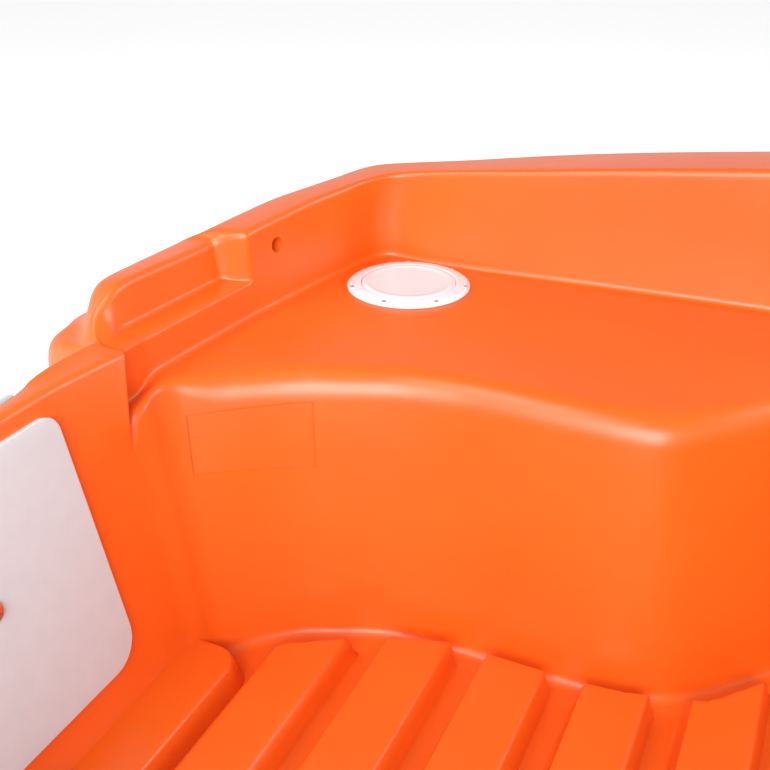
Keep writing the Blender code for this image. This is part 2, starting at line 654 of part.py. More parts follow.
def keel_strips(dark):
    """Wear strips under the three keels, which the boat stands on."""
    for side, sign in (("centre", 0), ("port", 1), ("starboard", -1)):
        aft, fore = (Vector((x, sign * y, 0)) for x, y in (KEEL_LINE if sign else CENTRE_LINE))
        run = fore - aft
        work = plate(rounded_outline(run.length, STRIP_W, (0.020, 0.020), 3), KEEL_Z - GAP)
        turn = Matrix.Rotation(atan2(run.y, run.x), 4, "Z")
        from_bmesh(f"keel_strip_{side}", moved(work, Matrix.Translation((aft + fore) / 2) @ turn), dark)


def rowlock_place(sign):
    """The transform of a rowlock: its axis stands square on the rising gunwale."""
    middle = (ROWLOCK_X, sign * ROWLOCK_Y, rim_z(ROWLOCK_X) - ROWLOCK_SINK)
    return Matrix.Translation(middle) @ Matrix.Rotation(-SHEER_ANGLE, 4, "Y")


def rowlock(side, sign, galvanised, black):
    """A socket let into the gunwale, and the rowlock that turns in it."""
    tilt = rowlock_place(sign)
    body = [(0.0075, -0.050), (0.0125, -0.050), (0.0125, 0.0), (0.0240, 0.0), (0.0240, 0.006),
            (0.0200, 0.010), (0.0075, 0.010)]
    from_bmesh(f"rowlock_socket_{side}", moved(turned(body, 24, closed=True), tilt), black)
    pin = [(0, -0.046), (0.0062, -0.046), (0.0066, 0.010 + GAP * 4), (0.0130, 0.010 + GAP * 4),
           (0.0130, 0.015), (0.0070, 0.022), (0.0, 0.024)]
    stem = turned(pin, 20)
    horn = []
    for i in range(17):
        a = radians(-90 - 118 + 236 * i / 16)
        horn.append((0, 0.0300 * cos(a), 0.0520 + 0.0340 * sin(a)))
    crutch = from_bmesh(f"rowlock_{side}", stem, galvanised)
    crutch.matrix_world = tilt
    guide = from_bmesh(f"rowlock_{side}_horns", swept(horn, 0.0062, 10), galvanised)
    guide.matrix_world = tilt
    hide(guide)
    join = crutch.modifiers.new("horns", "BOOLEAN")
    join.operation = "UNION"
    join.object = guide


def stern_eye_place(sign):
    """The transform that stands a towing eye on the aft face of a float."""
    return on_face(Vector((1, sign, 1)) * Vector(STERN_EYE_AT), STERN_EYE_OUT, (0, 0, 1))


def u_eye(name, place, steel):
    """A U-bolt eye on its backing plate, standing on a face of the hull."""
    base = plate(rounded_outline(EYE_W, EYE_L, (EYE_R, EYE_R), 4), 0.004, 0.0008)
    bow = []
    for i in range(13):
        a = pi * i / 12
        bow.append((0, 0.0225 * cos(a), 0.020 + 0.026 * sin(a)))
    bar = [(0, 0.0225, 0.002)] + bow + [(0, -0.0225, 0.002)]
    eye = from_bmesh(name, base, steel)
    eye.matrix_world = place
    guide = from_bmesh(f"{name}_bar", swept(bar, 0.0042, 10), steel)
    guide.matrix_world = eye.matrix_world
    hide(guide)
    join = eye.modifiers.new("bar", "BOOLEAN")
    join.operation = "UNION"
    join.object = guide


def plate_seat(place, width, height, radius):
    """A pocket cutter that gives a fitting's plate its flat seat in the moulding."""
    margin = 2 * GAP
    seat = plate(rounded_outline(width + margin, height + margin, (radius, radius), 4), 0.060)
    return moved(seat, place @ Matrix.Translation((0, 0, -GAP)))


def handle_place(sign):
    """The transform that stands a carrying handle on the gunwale at the bow."""
    side = Vector((1, sign, 1))
    return on_face(side * Vector(HANDLE_AT), side * Vector(HANDLE_OUT), side * Vector(HANDLE_ALONG))


def grab_handle(side, sign, black):
    """A carrying handle on the foredeck: a grip on two feet."""
    place = handle_place(sign)
    rise, half = 0.040, HANDLE_HALF
    grip = [(0, -half, 0.004), (0, -half, 0.016), (0, -half + 0.010, 0.030), (0, -half + 0.028, rise),
            (0, 0, rise + 0.003), (0, half - 0.028, rise), (0, half - 0.010, 0.030), (0, half, 0.016),
            (0, half, 0.004)]
    bar = from_bmesh(f"grab_handle_{side}", swept(grip, 0.0095, 12), black)
    bar.matrix_world = place
    for number, end in enumerate((-half, half)):
        foot = plate(rounded_outline(FOOT_W, FOOT_L, (0.012, 0.012), 4), 0.0075, 0.0015)
        guide = from_bmesh(f"grab_handle_{side}_foot_{number}", foot, black)
        guide.matrix_world = place @ Matrix.Translation((0, end, 0))
        hide(guide)
        join = bar.modifiers.new(f"foot_{number}", "BOOLEAN")
        join.operation = "UNION"
        join.object = guide


def drain(black, white):
    """The drain tube through the transom at floor level, and the bung pushed into it."""
    inner = raked(TRANSOM_IN, DRAIN_Z)
    outer = raked(TRANSOM_OUT, DRAIN_Z)
    turn = Matrix.Translation((inner, 0, DRAIN_Z)) @ Matrix.Rotation(pi / 2, 4, "Y")
    length = inner - outer
    tube = [(0.0115, -length - 0.012), (0.0150, -length - 0.012), (0.0150, 0.012), (0.0115, 0.012)]
    from_bmesh("drain_tube", moved(turned(tube, 24, closed=True), turn), white)
    seat = 0.012 + GAP
    bung = [(0, -0.020), (0.0100, -0.020), (0.0112, seat), (0.0150, seat), (0.0150, seat + 0.011),
            (0.0135, seat + 0.0125), (0, seat + 0.0125)]
    from_bmesh("drain_bung", moved(turned(bung, 24), turn), black)


def hull_openings(hull):
    """Cut the hatch wells, the wing holes, the drain, the rowlock bores and the seats."""
    works = []
    for sign in (1, -1):
        seat = BENCH_Z + GAP / 2
        well = turned([(0, BENCH_Z - WELL_DEPTH), (WELL_R, BENCH_Z - WELL_DEPTH), (WELL_R, seat),
                       (HATCH_R + 3 * GAP, seat), (HATCH_R + 3 * GAP, seat + 0.030), (0, seat + 0.030)], 48)
        works.append(moved(well, Matrix.Translation((HATCH_X, sign * HATCH_Y, 0))))
        hole = turned([(0, -0.2), (HOLE_R, -0.2), (HOLE_R, 0.1), (0, 0.1)], 24)
        middle = Vector((1, sign, 1)) * Vector(HOLE_AT)
        works.append(moved(hole, Matrix.Translation(middle) @ Matrix.Rotation(pi / 2, 4, "Y")))
        bore = turned([(0, -0.055), (0.0125 + GAP, -0.055), (0.0125 + GAP, -GAP), (0.0240 + GAP, -GAP),
                       (0.0240 + GAP, 0.02), (0, 0.02)], 24)
        works.append(moved(bore, rowlock_place(sign)))
        works.append(plate_seat(stern_eye_place(sign), EYE_W, EYE_L, EYE_R))
        for end in (-HANDLE_HALF, HANDLE_HALF):
            works.append(plate_seat(handle_place(sign) @ Matrix.Translation((0, end, 0)), FOOT_W, FOOT_L,
                                    0.012))
    drain_hole = turned([(0, -0.2), (0.0150 + GAP, -0.2), (0.0150 + GAP, 0.10), (0, 0.10)], 24)
    works.append(moved(drain_hole, Matrix.Translation((raked(TRANSOM_IN, DRAIN_Z), 0, DRAIN_Z))
                       @ Matrix.Rotation(pi / 2, 4, "Y")))
    works.append(plate_seat(on_face(BOW_EYE_AT, BOW_EYE_OUT, (0, 0, 1)), EYE_W, EYE_L, EYE_R))
    cut(hull, merge(works), "hull_openings")


def add_treads(hull):
    """Join the raised tread bars to the floor; they stop short of the bench fronts."""
    works = []
    for k in range(TREADS):
        aft = TREAD_X + k * TREAD_PITCH
        fore = aft + TREAD_L
        half = np.interp((aft, fore), *zip(*TREAD_EDGE))
        corners = ((aft, -half[0]), (fore, -half[1]), (fore, half[1]), (aft, half[0]))
        work = bmesh.new()
        rings = []
        for inset, z in ((0, FLOOR_Z - 0.010), (0, FLOOR_Z + 0.6 * TREAD_H), (0.006, FLOOR_Z + TREAD_H)):
            steps = ((inset, inset), (-inset, inset), (-inset, -inset), (inset, -inset))
            rings.append([work.verts.new((x + a, y + b, z)) for (x, y), (a, b) in zip(corners, steps)])
        for low, high in zip(rings, rings[1:]):
            for i in range(4):
                j = (i + 1) % 4
                work.faces.new((low[i], low[j], high[j], high[i]))
        work.faces.new(rings[0])
        work.faces.new(rings[-1])
        works.append(work)
    guide = from_bmesh("hull_treads", merge(works), hull.data.materials[0])
    hide(guide)
    join = hull.modifiers.new("treads", "BOOLEAN")
    join.operation = "UNION"
    join.solver = "EXACT"
    join.object = guide


def clear_scene():
    """Remove whatever the file held."""
    for old in list(bpy.data.objects):
        bpy.data.objects.remove(old, do_unlink=True)


def main():
    """Build every sub-part."""
    clear_scene()
    orange = plastic("orange_polyethylene", (0.93, 0.14, 0.02), 0.42)
    white = plastic("white_plastic", (0.86, 0.85, 0.88), 0.22)
    board = plastic("grey_white_board", (0.74, 0.68, 0.70), 0.50)
    black = plastic("black_plastic", (0.02, 0.02, 0.022), 0.45)
    dark = plastic("dark_wear_plastic", (0.03, 0.03, 0.032), 0.60)
    steel = plastic("polished_steel", (0.62, 0.62, 0.63), 0.20, 1.0)
    galvanised = plastic("galvanised_iron", (0.52, 0.54, 0.56), 0.45, 1.0)
    verts, faces = hull_mesh()
    hull = finish_mesh("hull_moulding", verts, faces, orange)
    add_treads(hull)
    hull_openings(hull)
    transom_pads(board)
    centre_thwart(orange)
    keel_strips(dark)
    drain(black, white)
    u_eye("bow_eye", on_face(BOW_EYE_AT, BOW_EYE_OUT, (0, 0, 1)), steel)
    for side, sign in (("port", 1), ("starboard", -1)):
        hatch(side, sign, white)
        rowlock(side, sign, galvanised, black)
        u_eye(f"stern_eye_{side}", stern_eye_place(sign), steel)
        grab_handle(side, sign, black)


main()
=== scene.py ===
# %% [markdown]
# # A rigid dinghy, dressed for its picture
#
# The imported model gives every piece its place.  This lesson gives the boat its looks: a
# smooth skin for the rotomoulded hull, a ribbed cockpit sole, deck hatches, clamp boards
# and fittings, each with a material that follows what the real one is made of.
# Everything is in metres: +X runs to the bow, +Y to port and +Z up.

# %% Load the imported model
import bmesh
import bpy
import numpy as np
from math import cos, pi, radians, sin, tan
from mathutils import Matrix, Vector


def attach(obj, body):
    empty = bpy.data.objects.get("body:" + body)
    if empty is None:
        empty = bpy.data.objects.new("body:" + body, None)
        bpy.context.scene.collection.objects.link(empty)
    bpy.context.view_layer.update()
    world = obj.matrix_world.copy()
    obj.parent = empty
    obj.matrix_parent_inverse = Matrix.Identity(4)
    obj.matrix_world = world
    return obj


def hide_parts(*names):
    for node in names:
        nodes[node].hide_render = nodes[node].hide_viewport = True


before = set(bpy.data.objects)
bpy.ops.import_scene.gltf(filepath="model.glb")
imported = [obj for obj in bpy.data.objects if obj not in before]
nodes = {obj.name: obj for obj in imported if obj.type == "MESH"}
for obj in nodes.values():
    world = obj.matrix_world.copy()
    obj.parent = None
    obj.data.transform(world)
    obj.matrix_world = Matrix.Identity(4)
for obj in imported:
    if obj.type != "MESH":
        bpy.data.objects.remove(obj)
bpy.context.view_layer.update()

# %% [markdown]
# ## The camera
#
# The photograph looks from above the starboard side, near the stern, down and aft into the
# port quarter.  A normal lens 46.8 mm long on a 36 mm sensor gives its perspective.  The
# view direction is written as a heading and a pitch, because those two angles are easy to
# check against a level bench and a straight gunwale.

# %% Place the camera
PHOTO_SIZE = 770
FOCAL_PIXELS = 1000
SENSOR = 36                  # width of the sensor in mm
HEADING = radians(25)        # from +Y towards -X
PITCH = radians(27.07)       # below the horizon
EYE = (-1.051, -0.430, 0.853)
NEAR = 0.02                  # nothing closer than this is drawn

camera = bpy.data.objects.new("camera", bpy.data.cameras.new("camera"))
bpy.context.collection.objects.link(camera)
camera.data.sensor_width = SENSOR
camera.data.lens = SENSOR * FOCAL_PIXELS / PHOTO_SIZE
camera.data.clip_start = NEAR
camera.location = EYE
camera.rotation_euler = (pi / 2 - PITCH, 0, HEADING)
bpy.context.scene.camera = camera
print("lens", round(camera.data.lens, 2), "mm")

# %% [markdown]
# ## Helpers for materials
#
# Paint charts and screens give colours as sRGB hex values, while shaders add light in
# linear values, so one function turns the first into the second.  A second function adds
# any node, sets its fields and sockets, and links what it is given as a socket.

# %% Colour and node helpers
def linear(hex_colour):
    """The linear RGBA of an sRGB hex colour."""
    steps = np.array([int(hex_colour[i:i + 2], 16) for i in (1, 3, 5)]) / 255
    values = np.where(steps <= 0.04045, steps / 12.92, ((steps + 0.055) / 1.055) ** 2.4)
    return (*values.tolist(), 1.0)


def add(tree, kind, fields=None, **sockets):
    """Add a node.  fields are its attributes, sockets its inputs: a value or a link."""
    node = tree.nodes.new(kind)
    for name, value in (fields or {}).items():
        setattr(node, name, value)
    for name, value in sockets.items():
        wanted = name.replace("_", " ")
        socket = next(s for s in node.inputs if s.name == wanted and s.enabled)
        if isinstance(value, bpy.types.NodeSocket):
            tree.links.new(value, socket)
        else:
            socket.default_value = value
    return node


def start_material(name, **constants):
    """A new material with its shader's constant sockets set; returns it, tree and shader."""
    material = bpy.data.materials.new(name)
    material.use_nodes = True
    tree = material.node_tree
    shader = tree.nodes["Principled BSDF"]
    for socket, value in constants.items():
        shader.inputs[socket.replace("_", " ")].default_value = value
    return material, tree, shader


def noise_of(tree, per_metre, detail=2.0, rough=0.5):
    """Noise on Object coordinates with that many cells in a metre."""
    place = add(tree, "ShaderNodeTexCoord").outputs["Object"]
    return add(tree, "ShaderNodeTexNoise", Vector=place, Scale=per_metre, Detail=detail,
               Roughness=rough).outputs["Fac"]


def ramp(tree, fac, stops):
    """A colour ramp from (position, hex colour or grey value) pairs."""
    node = add(tree, "ShaderNodeValToRGB", Fac=fac)
    points = node.color_ramp.elements
    while len(points) < len(stops):
        points.new(0.5)
    for point, (position, value) in zip(points, stops):
        point.position = position
        point.color = linear(value) if isinstance(value, str) else (value, value, value, 1)
    return node.outputs["Color"]


def bump_of(tree, height, distance, strength=1.0, below=None):
    """A bump of that height in metres, over another bump if one is given."""
    node = add(tree, "ShaderNodeBump", Height=height, Distance=distance, Strength=strength)
    if below is not None:
        tree.links.new(below, node.inputs["Normal"])
    return node.outputs["Normal"]


print("#FF6A28 is linear", [round(v, 3) for v in linear("#FF6A28")[:3]])

# %% [markdown]
# ## Orange polyethylene
#
# The hull is rotomoulded: powder of linear low-density polyethylene melts onto the wall
# of a hot turning mould.  That leaves a satin skin with a faint orange peel, long soft
# swells where the wall cooled unevenly, and a colour that is the same all through.  Its
# IOR is near 1.51.  Two noises make the swell and the peel, and a third lets the colour
# drift by a shade, so that the large plain faces don't look painted by a computer.

# %% Make the hull's material
def rotomoulded(name, mid, light, dark):
    """Satin polyethylene: the colour drifts between three shades of one orange."""
    material, tree, shader = start_material(name, IOR=1.51, Specular_IOR_Level=0.65)
    drift = noise_of(tree, 3.2, 3.0)
    colour = ramp(tree, drift, ((0.30, dark), (0.52, mid), (0.75, light)))
    tree.links.new(colour, shader.inputs["Base Color"])
    patch = noise_of(tree, 14.0, 4.0, 0.6)
    sheen = add(tree, "ShaderNodeMapRange", Value=patch, To_Min=0.31, To_Max=0.42)
    tree.links.new(sheen.outputs["Result"], shader.inputs["Roughness"])
    swell = bump_of(tree, noise_of(tree, 7.0, 1.0), 0.0030, 0.35)
    peel = bump_of(tree, noise_of(tree, 260.0, 2.0), 0.00010, 0.5, below=swell)
    tree.links.new(peel, shader.inputs["Normal"])
    return material


orange = rotomoulded("rotomoulded_polyethylene", "#EA6314", "#EE6818", "#E65D10")
print("made", orange.name)

# %% [markdown]
# ## White, grey, black and metal
#
# The deck hatches are injection-moulded ASA and glossy.  Their very slightly cool base colour is
# painted against the warm light that the orange hull throws on them, so that they look neutral white.
# The clamp boards are sawn from grey-white polyethylene sheet, which has a calendered, matt face.
# Handles, sockets and bungs are black nylon with a spark-eroded grain.  The eyes, bolts
# and screws are stainless steel with a soft polish, and the rowlocks are hot-dip
# galvanised iron, whose zinc cools in flakes, drawn here as cells about 7 mm across.

# %% Make the other materials
def moulded(name, hex_colour, roughness, grain_mm, depth):
    """A moulded plastic: one colour, and a grain of that size and depth."""
    material, tree, shader = start_material(name, IOR=1.50, Base_Color=linear(hex_colour))
    patch = noise_of(tree, 22.0, 3.0)
    sheen = add(tree, "ShaderNodeMapRange", Value=patch, To_Min=roughness * 0.85,
                To_Max=roughness * 1.15)
    tree.links.new(sheen.outputs["Result"], shader.inputs["Roughness"])
    grain = bump_of(tree, noise_of(tree, 1000 / grain_mm, 2.0), depth, 0.6)
    tree.links.new(grain, shader.inputs["Normal"])
    return material


def sheet_board(name):
    """Calendered board: a faint mottle and fine scratches that run up and down the board.

    Its base colour is a cool grey.  The orange hull all round warms what falls on it, and
    together they give the eye a neutral, nearly white board.
    """
    material, tree, shader = start_material(name, IOR=1.49)
    mottle = noise_of(tree, 60.0, 4.0)
    colour = ramp(tree, mottle, ((0.25, "#C5D8DF"), (0.75, "#CADCE3")))
    tree.links.new(colour, shader.inputs["Base Color"])
    place = add(tree, "ShaderNodeTexCoord").outputs["Object"]
    stretched = add(tree, "ShaderNodeMapping", Vector=place, Scale=(40.0, 900.0, 40.0))
    scratch = add(tree, "ShaderNodeTexNoise", Vector=stretched.outputs["Vector"], Scale=1.0,
                  Detail=1.0).outputs["Fac"]
    sheen = add(tree, "ShaderNodeMapRange", Value=scratch, To_Min=0.38, To_Max=0.52)
    tree.links.new(sheen.outputs["Result"], shader.inputs["Roughness"])
    tree.links.new(bump_of(tree, scratch, 0.00004, 0.4), shader.inputs["Normal"])
    return material


def stainless(name):
    """Stainless steel with a soft polish: a faint haze makes its gleams uneven."""
    material, tree, shader = start_material(name, Metallic=1.0, Base_Color=linear("#C6C8CA"))
    haze = add(tree, "ShaderNodeMapRange", Value=noise_of(tree, 90.0, 4.0), To_Min=0.24, To_Max=0.36)
    tree.links.new(haze.outputs["Result"], shader.inputs["Roughness"])
    return material


def galvanised_iron(name):
    """Zinc spangle: cells of slightly different grey and roughness."""
    material, tree, shader = start_material(name, Metallic=1.0)
    place = add(tree, "ShaderNodeTexCoord").outputs["Object"]
    flake = add(tree, "ShaderNodeTexVoronoi", Vector=place, Scale=140.0)
    shade = add(tree, "ShaderNodeSeparateColor", Color=flake.outputs["Color"]).outputs["Red"]
    colour = ramp(tree, shade, ((0.0, "#9DA1A4"), (1.0, "#BFC3C5")))
    tree.links.new(colour, shader.inputs["Base Color"])
    sheen = add(tree, "ShaderNodeMapRange", Value=shade, To_Min=0.36, To_Max=0.55)
    tree.links.new(sheen.outputs["Result"], shader.inputs["Roughness"])
    tree.links.new(bump_of(tree, noise_of(tree, 320.0, 3.0), 0.0002, 0.5), shader.inputs["Normal"])
    return material


# the hatches' cool white is a painted correction for the hull's warm bounce light, not a tint of the ASA
white = moulded("white_asa", "#DFECF2", 0.12, 3.0, 0.00002)
black = moulded("black_nylon", "#1A1B1D", 0.46, 0.9, 0.00010)
wear = moulded("dark_wear_polyethylene", "#26282A", 0.58, 1.6, 0.00020)
board = sheet_board("calendered_board")
steel = stainless("polished_stainless")
zinc = galvanised_iron("hot_dip_zinc")
print("materials:", ", ".join(m.name for m in bpy.data.materials if m.use_nodes))

# %% [markdown]
# ## From arrays to meshes
#
# Each new surface is a grid of points worked out as one numpy array.  The grid's cells
# become quads by index arithmetic, and the arrays go into the mesh in a few calls, which
# is quick and keeps the shape's formula in one place.

# %% Mesh helpers
def cells(rows, columns, wrap_rows=False, wrap_columns=False):
    """The quads of a grid, counter-clockwise where columns run right and rows run up."""
    r = np.arange(rows if wrap_rows else rows - 1)[:, None]
    c = np.arange(columns if wrap_columns else columns - 1)[None, :]
    r_next, c_next = (r + 1) % rows, (c + 1) % columns
    quads = np.stack([r * columns + c, r * columns + c_next, r_next * columns + c_next,
                      r_next * columns + c], axis=-1)
    return quads.reshape(-1, 4)


def build(name, points, faces, material, body="hull", slot=None, sharp=40.0, turn=True):
    """A smooth piece from its points and faces, in place, riding on a body."""
    mesh = bpy.data.meshes.new(name)
    mesh.from_pydata(np.asarray(points, float).reshape(-1, 3), [], [list(f) for f in faces])
    piece = bpy.data.objects.new(name, mesh)
    bpy.context.collection.objects.link(piece)
    if turn:
        clean(mesh)
    mesh.shade_smooth()
    mesh.set_sharp_from_angle(angle=radians(sharp))
    mesh.materials.append(material)
    if body:
        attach(piece, body)
    return piece


def clean(mesh):
    """Join doubled points, drop faces without area, and turn all faces outwards."""
    work = bmesh.new()
    work.from_mesh(mesh)
    bmesh.ops.remove_doubles(work, verts=work.verts, dist=1e-6)
    bmesh.ops.dissolve_degenerate(work, edges=work.edges, dist=1e-7)
    bmesh.ops.recalc_face_normals(work, faces=work.faces)
    work.to_mesh(mesh)
    work.free()


def lathe(profile, steps=96, closed=False):
    """Turn (radius, height) points about Z.  closed joins the last point to the first."""
    profile = np.asarray(profile, float)
    angle = 2 * pi * np.arange(steps) / steps
    radius, height = profile[:, 0][:, None], profile[:, 1][:, None]
    points = np.stack([radius * np.cos(angle), radius * np.sin(angle), height + 0 * angle], axis=-1)
    return points.reshape(-1, 3), cells(len(profile), steps, closed, True)


def rounded(profile, radius, steps=4):
    """Replace each inner corner of an open polyline by an arc-like parabola."""
    profile = np.asarray(profile, float)
    out = [profile[:1]]
    t = np.linspace(0, 1, steps + 1)[:, None]
    for a, b, c in zip(profile[:-2], profile[1:-1], profile[2:]):
        back, ahead = a - b, c - b
        start = b + back * min(radius / max(np.linalg.norm(back), 1e-9), 0.48)
        end = b + ahead * min(radius / max(np.linalg.norm(ahead), 1e-9), 0.48)
        out.append((1 - t) ** 2 * start + 2 * t * (1 - t) * b + t * t * end)
    out.append(profile[-1:])
    return np.concatenate(out)


def placed(points, matrix):
    """Points after a transform."""
    turn = np.array(matrix.to_3x3())
    return points @ turn.T + np.array(matrix.translation)


def on_face(point, out, up):
    """A transform that lays XY on a face: Z along out, Y as near up as it can."""
    z = Vector(out).normalized()
    x = Vector(up).cross(z).normalized()
    return Matrix.Translation(Vector(point)) @ Matrix((x, z.cross(x), z)).transposed().to_4x4()


def joined(parts):
    """Several (points, faces) as one."""
    points, faces, start = [], [], 0
    for part_points, part_faces in parts:
        points.append(part_points)
        faces += [[int(v) + start for v in face] for face in part_faces]
        start += len(part_points)
    return np.concatenate(points), faces


print("a 3 x 3 grid has", len(cells(3, 3)), "cells")

# %% [markdown]
# ## The lines of the hull
#
# A rotomoulded dinghy has two skins that meet at the gunwale.  Its surface can be drawn
# as a ring of sections: at each frame a section climbs from the bottom over the topside
# and the rolled gunwale, down the inner wall to a bench, and down its front to the sole.
# The tables give the frames as a boatbuilder's offsets, from the middle of the transom
# round to the stem.  They are the same values as the solid model's, so the smooth skin
# lies on it, and this step only samples them finely enough to look seamless.

# %% Offsets of the stern
BENCH_Z, FLOOR_Z, KEEL_Z, TUNNEL_Z = 0.400, 0.100, 0.008, 0.078
TRANSOM_Z, RAKE = 0.446, radians(12.8)
TRANSOM_IN, TRANSOM_OUT = -1.654, -1.684
LEDGE_Z, RECESS = 0.441, 0.034
STERN_X, SHELF_Z, BOTTOM_Y = -1.840, 0.420, 0.745
SHELF_RISE, SHELF_RUN = 0.015, 0.120          # the shelf lies higher beside the transom
TRANSOM_FRAMES = (
    # y of the top edge, of the inner face, of its foot and of the bottom's edge, height of the
    # outer top edge, swell of the inner face
    (0.000, 0.000, 0.000, 0.000, 0.436, 0.0), (0.145, 0.143, 0.139, 0.145, 0.436, 0.0),
    (0.165, 0.162, 0.157, 0.168, 0.450, 0.0), (0.244, 0.224, 0.213, 0.256, 0.449, 0.009),
    (0.252, 0.231, 0.217, 0.266, 0.446, 0.012),
)
SLOT_FRAMES = (
    # y, end of the float, outer top edge, its height, wall top, y and height of the wall foot,
    # bench tip, foot of the inner face, bottom's edge
    (0.256, -1.722, -1.690, 0.446, 0.448, (0.236, 0.386), (-1.631, 0.240, 0.385), (-1.572, 0.225),
     (-1.590, 0.286)),
    (0.262, -1.764, -1.702, 0.445, 0.453, (0.250, 0.385), (-1.629, 0.255, 0.393), (-1.568, 0.237),
     (-1.690, 0.292)),
    (0.278, -1.784, -1.714, 0.451, 0.466, (0.274, 0.386), (-1.633, 0.273, 0.400), (-1.563, 0.246),
     (-1.735, 0.300)),
)
WING = (
    # y, wall foot, bench edge, foot of the bench front, wall top, outer top edge, end of the
    # float, recess
    (0.296, (-1.651, 0.297), (-1.629, 0.289), (-1.552, 0.260), 0.480, -1.721, -1.806, 1.0),
    (0.314, (-1.649, 0.316), (-1.606, 0.304), (-1.544, 0.274), 0.487, -1.729, -1.816, 1.0),
    (0.350, (-1.647, 0.351), (-1.570, 0.329), (-1.532, 0.289), 0.487, -1.730, -1.827, 1.0),
    (0.420, (-1.641, 0.421), (-1.537, 0.351), (-1.512, 0.307), 0.486, -1.729, -1.835, 1.0),
    (0.453, (-1.638, 0.454), (-1.516, 0.362), (-1.494, 0.319), 0.486, -1.728, -1.838, 1.0),
    (0.462, (-1.637, 0.463), (-1.508, 0.366), (-1.486, 0.323), 0.487, -1.727, -1.839, 1.0),
    (0.470, (-1.636, 0.471), (-1.497, 0.370), (-1.476, 0.328), 0.497, -1.705, STERN_X, 0.0),
    (0.480, (-1.635, 0.481), (-1.484, 0.376), (-1.464, 0.333), 0.500, -1.700, STERN_X, 0.0),
    (0.545, (-1.625, 0.545), (-1.443, 0.394), (-1.427, 0.349), 0.503, -1.692, STERN_X, 0.0),
    (0.600, (-1.617, 0.602), (-1.415, 0.402), (-1.403, 0.356), 0.506, -1.683, STERN_X, 0.0),
)
CORNER = (
    # outer edge, inner top edge, wall foot, bench edge, end of the float, wall top
    ((-1.653, 0.700), (-1.609, 0.645), (-1.608, 0.656), (-1.385, 0.407), (-1.828, 0.722), 0.508),
    ((-1.634, 0.763), (-1.586, 0.711), (-1.594, 0.722), (-1.360, 0.410), (-1.780, 0.784), 0.512),
    ((-1.594, 0.774), (-1.535, 0.724), (-1.530, 0.718), (-1.335, 0.411), (-1.670, 0.806), 0.517),
)
SIDE = (
    # outer edge, wall foot, bench edge
    ((-1.490, 0.792), (-1.470, 0.714), (-1.290, 0.411)),
    ((-1.390, 0.824), (-1.380, 0.719), (-1.240, 0.411)),
    ((-1.270, 0.843), (-1.270, 0.726), (-1.190, 0.411)),
    ((-1.160, 0.851), (-1.160, 0.730), (-1.150, 0.415)),
    ((-1.090, 0.854), (-1.090, 0.732), (-1.105, 0.452)),
    ((-1.000, 0.857), (-1.000, 0.733), (-1.020, 0.545)),
    ((-0.900, 0.859), (-0.900, 0.734), (-0.935, 0.616)),
    ((-0.780, 0.861), (-0.780, 0.735), (-0.800, 0.630)),
    ((-0.400, 0.862), (-0.400, 0.736), (-0.400, 0.630)),
    ((0.000, 0.860), (0.000, 0.734), (0.000, 0.628)),
    ((0.400, 0.845), (0.400, 0.719), (0.400, 0.612)),
    ((0.750, 0.818), (0.740, 0.692), (0.600, 0.600)),
)
BOW = (
    ((1.050, 0.790), (0.970, 0.664), (0.720, 0.560)),
    ((1.310, 0.744), (1.120, 0.618), (0.800, 0.470)),
    ((1.540, 0.662), (1.240, 0.530), (0.855, 0.360)),
    ((1.710, 0.534), (1.315, 0.410), (0.880, 0.250)),
    ((1.805, 0.360), (1.350, 0.275), (0.888, 0.150)),
    ((1.838, 0.165), (1.362, 0.130), (0.890, 0.060)),
    ((1.842, 0.000), (1.364, 0.000), (0.890, 0.000)),
)
print("frames:", len(TRANSOM_FRAMES), len(SLOT_FRAMES), len(WING), len(CORNER), len(SIDE), len(BOW))

# %% [markdown]
# ## From offsets to sections
#
# Each frame becomes thirteen points.  The topside and chine lie a fixed step inside the
# gunwale, and the bench front leans by its draft, so they are worked out here and not
# typed in.  The underside has three keels with tunnels between them, as a raised cosine
# across the boat, and sweeps up to the stem.

# %% Thirteen points for each frame
SHEER_Z, SHEER_X, SHEER_SLOPE = 0.529, -1.461, 0.098
RIM, WALL_LEAN, ROLL_DROP, ROLL_IN = 0.104, 0.008, 0.052, 0.022
CHINE_IN, STEM_IN, FLOOR_MARGIN, FACE_DRAFT = 0.075, 0.36, 0.030, radians(9)
ROCKER_X, STEM_X, ROCKER_RISE = 0.40, 1.65, 0.46


def rim_z(x):
    """Height of the gunwale's inner edge: a straight sheer rising forward."""
    return SHEER_Z + SHEER_SLOPE * (x - SHEER_X)


def raked(x_top, z):
    """X on a face that leans aft with the transom and passes x_top at the transom top."""
    return x_top + (TRANSOM_Z - z) * tan(RAKE)


def unit(v):
    """Each row of v scaled to length one."""
    return v / np.linalg.norm(v, axis=-1, keepdims=True)


def inward(points):
    """Unit normals of a plan polyline, pointing to the inside of the boat."""
    step = np.gradient(points, axis=0)
    return unit(np.stack([step[:, 1], -step[:, 0]], axis=1))


def bottom_z(across, x):
    """Underside of the hull: three keels with tunnels between, rising to the bow.

    across is 0 on the middle line and 1 at the chine.  The tunnel is a raised cosine
    between the keels, and forward of ROCKER_X the whole bottom sweeps up to the stem.
    """
    across = np.abs(across)
    crest = TUNNEL_Z - KEEL_Z
    inner = np.clip((across - 0.07) / 0.26, 0, 1)
    outer = np.clip((across - 0.40) / 0.26, 0, 1)
    chine = np.clip((across - 0.80) / 0.20, 0, 1)
    wave = 0.5 - 0.5 * np.cos(pi * inner) - (0.5 - 0.5 * np.cos(pi * outer))
    fade = 1 - 0.8 * np.clip((x - 0.3) / 1.0, 0, 1)
    run = np.clip((x - ROCKER_X) / (STEM_X - ROCKER_X), 0, 1.2)
    return KEEL_Z + crest * (wave + 0.9 * chine ** 1.5) * fade + ROCKER_RISE * run ** 2.2


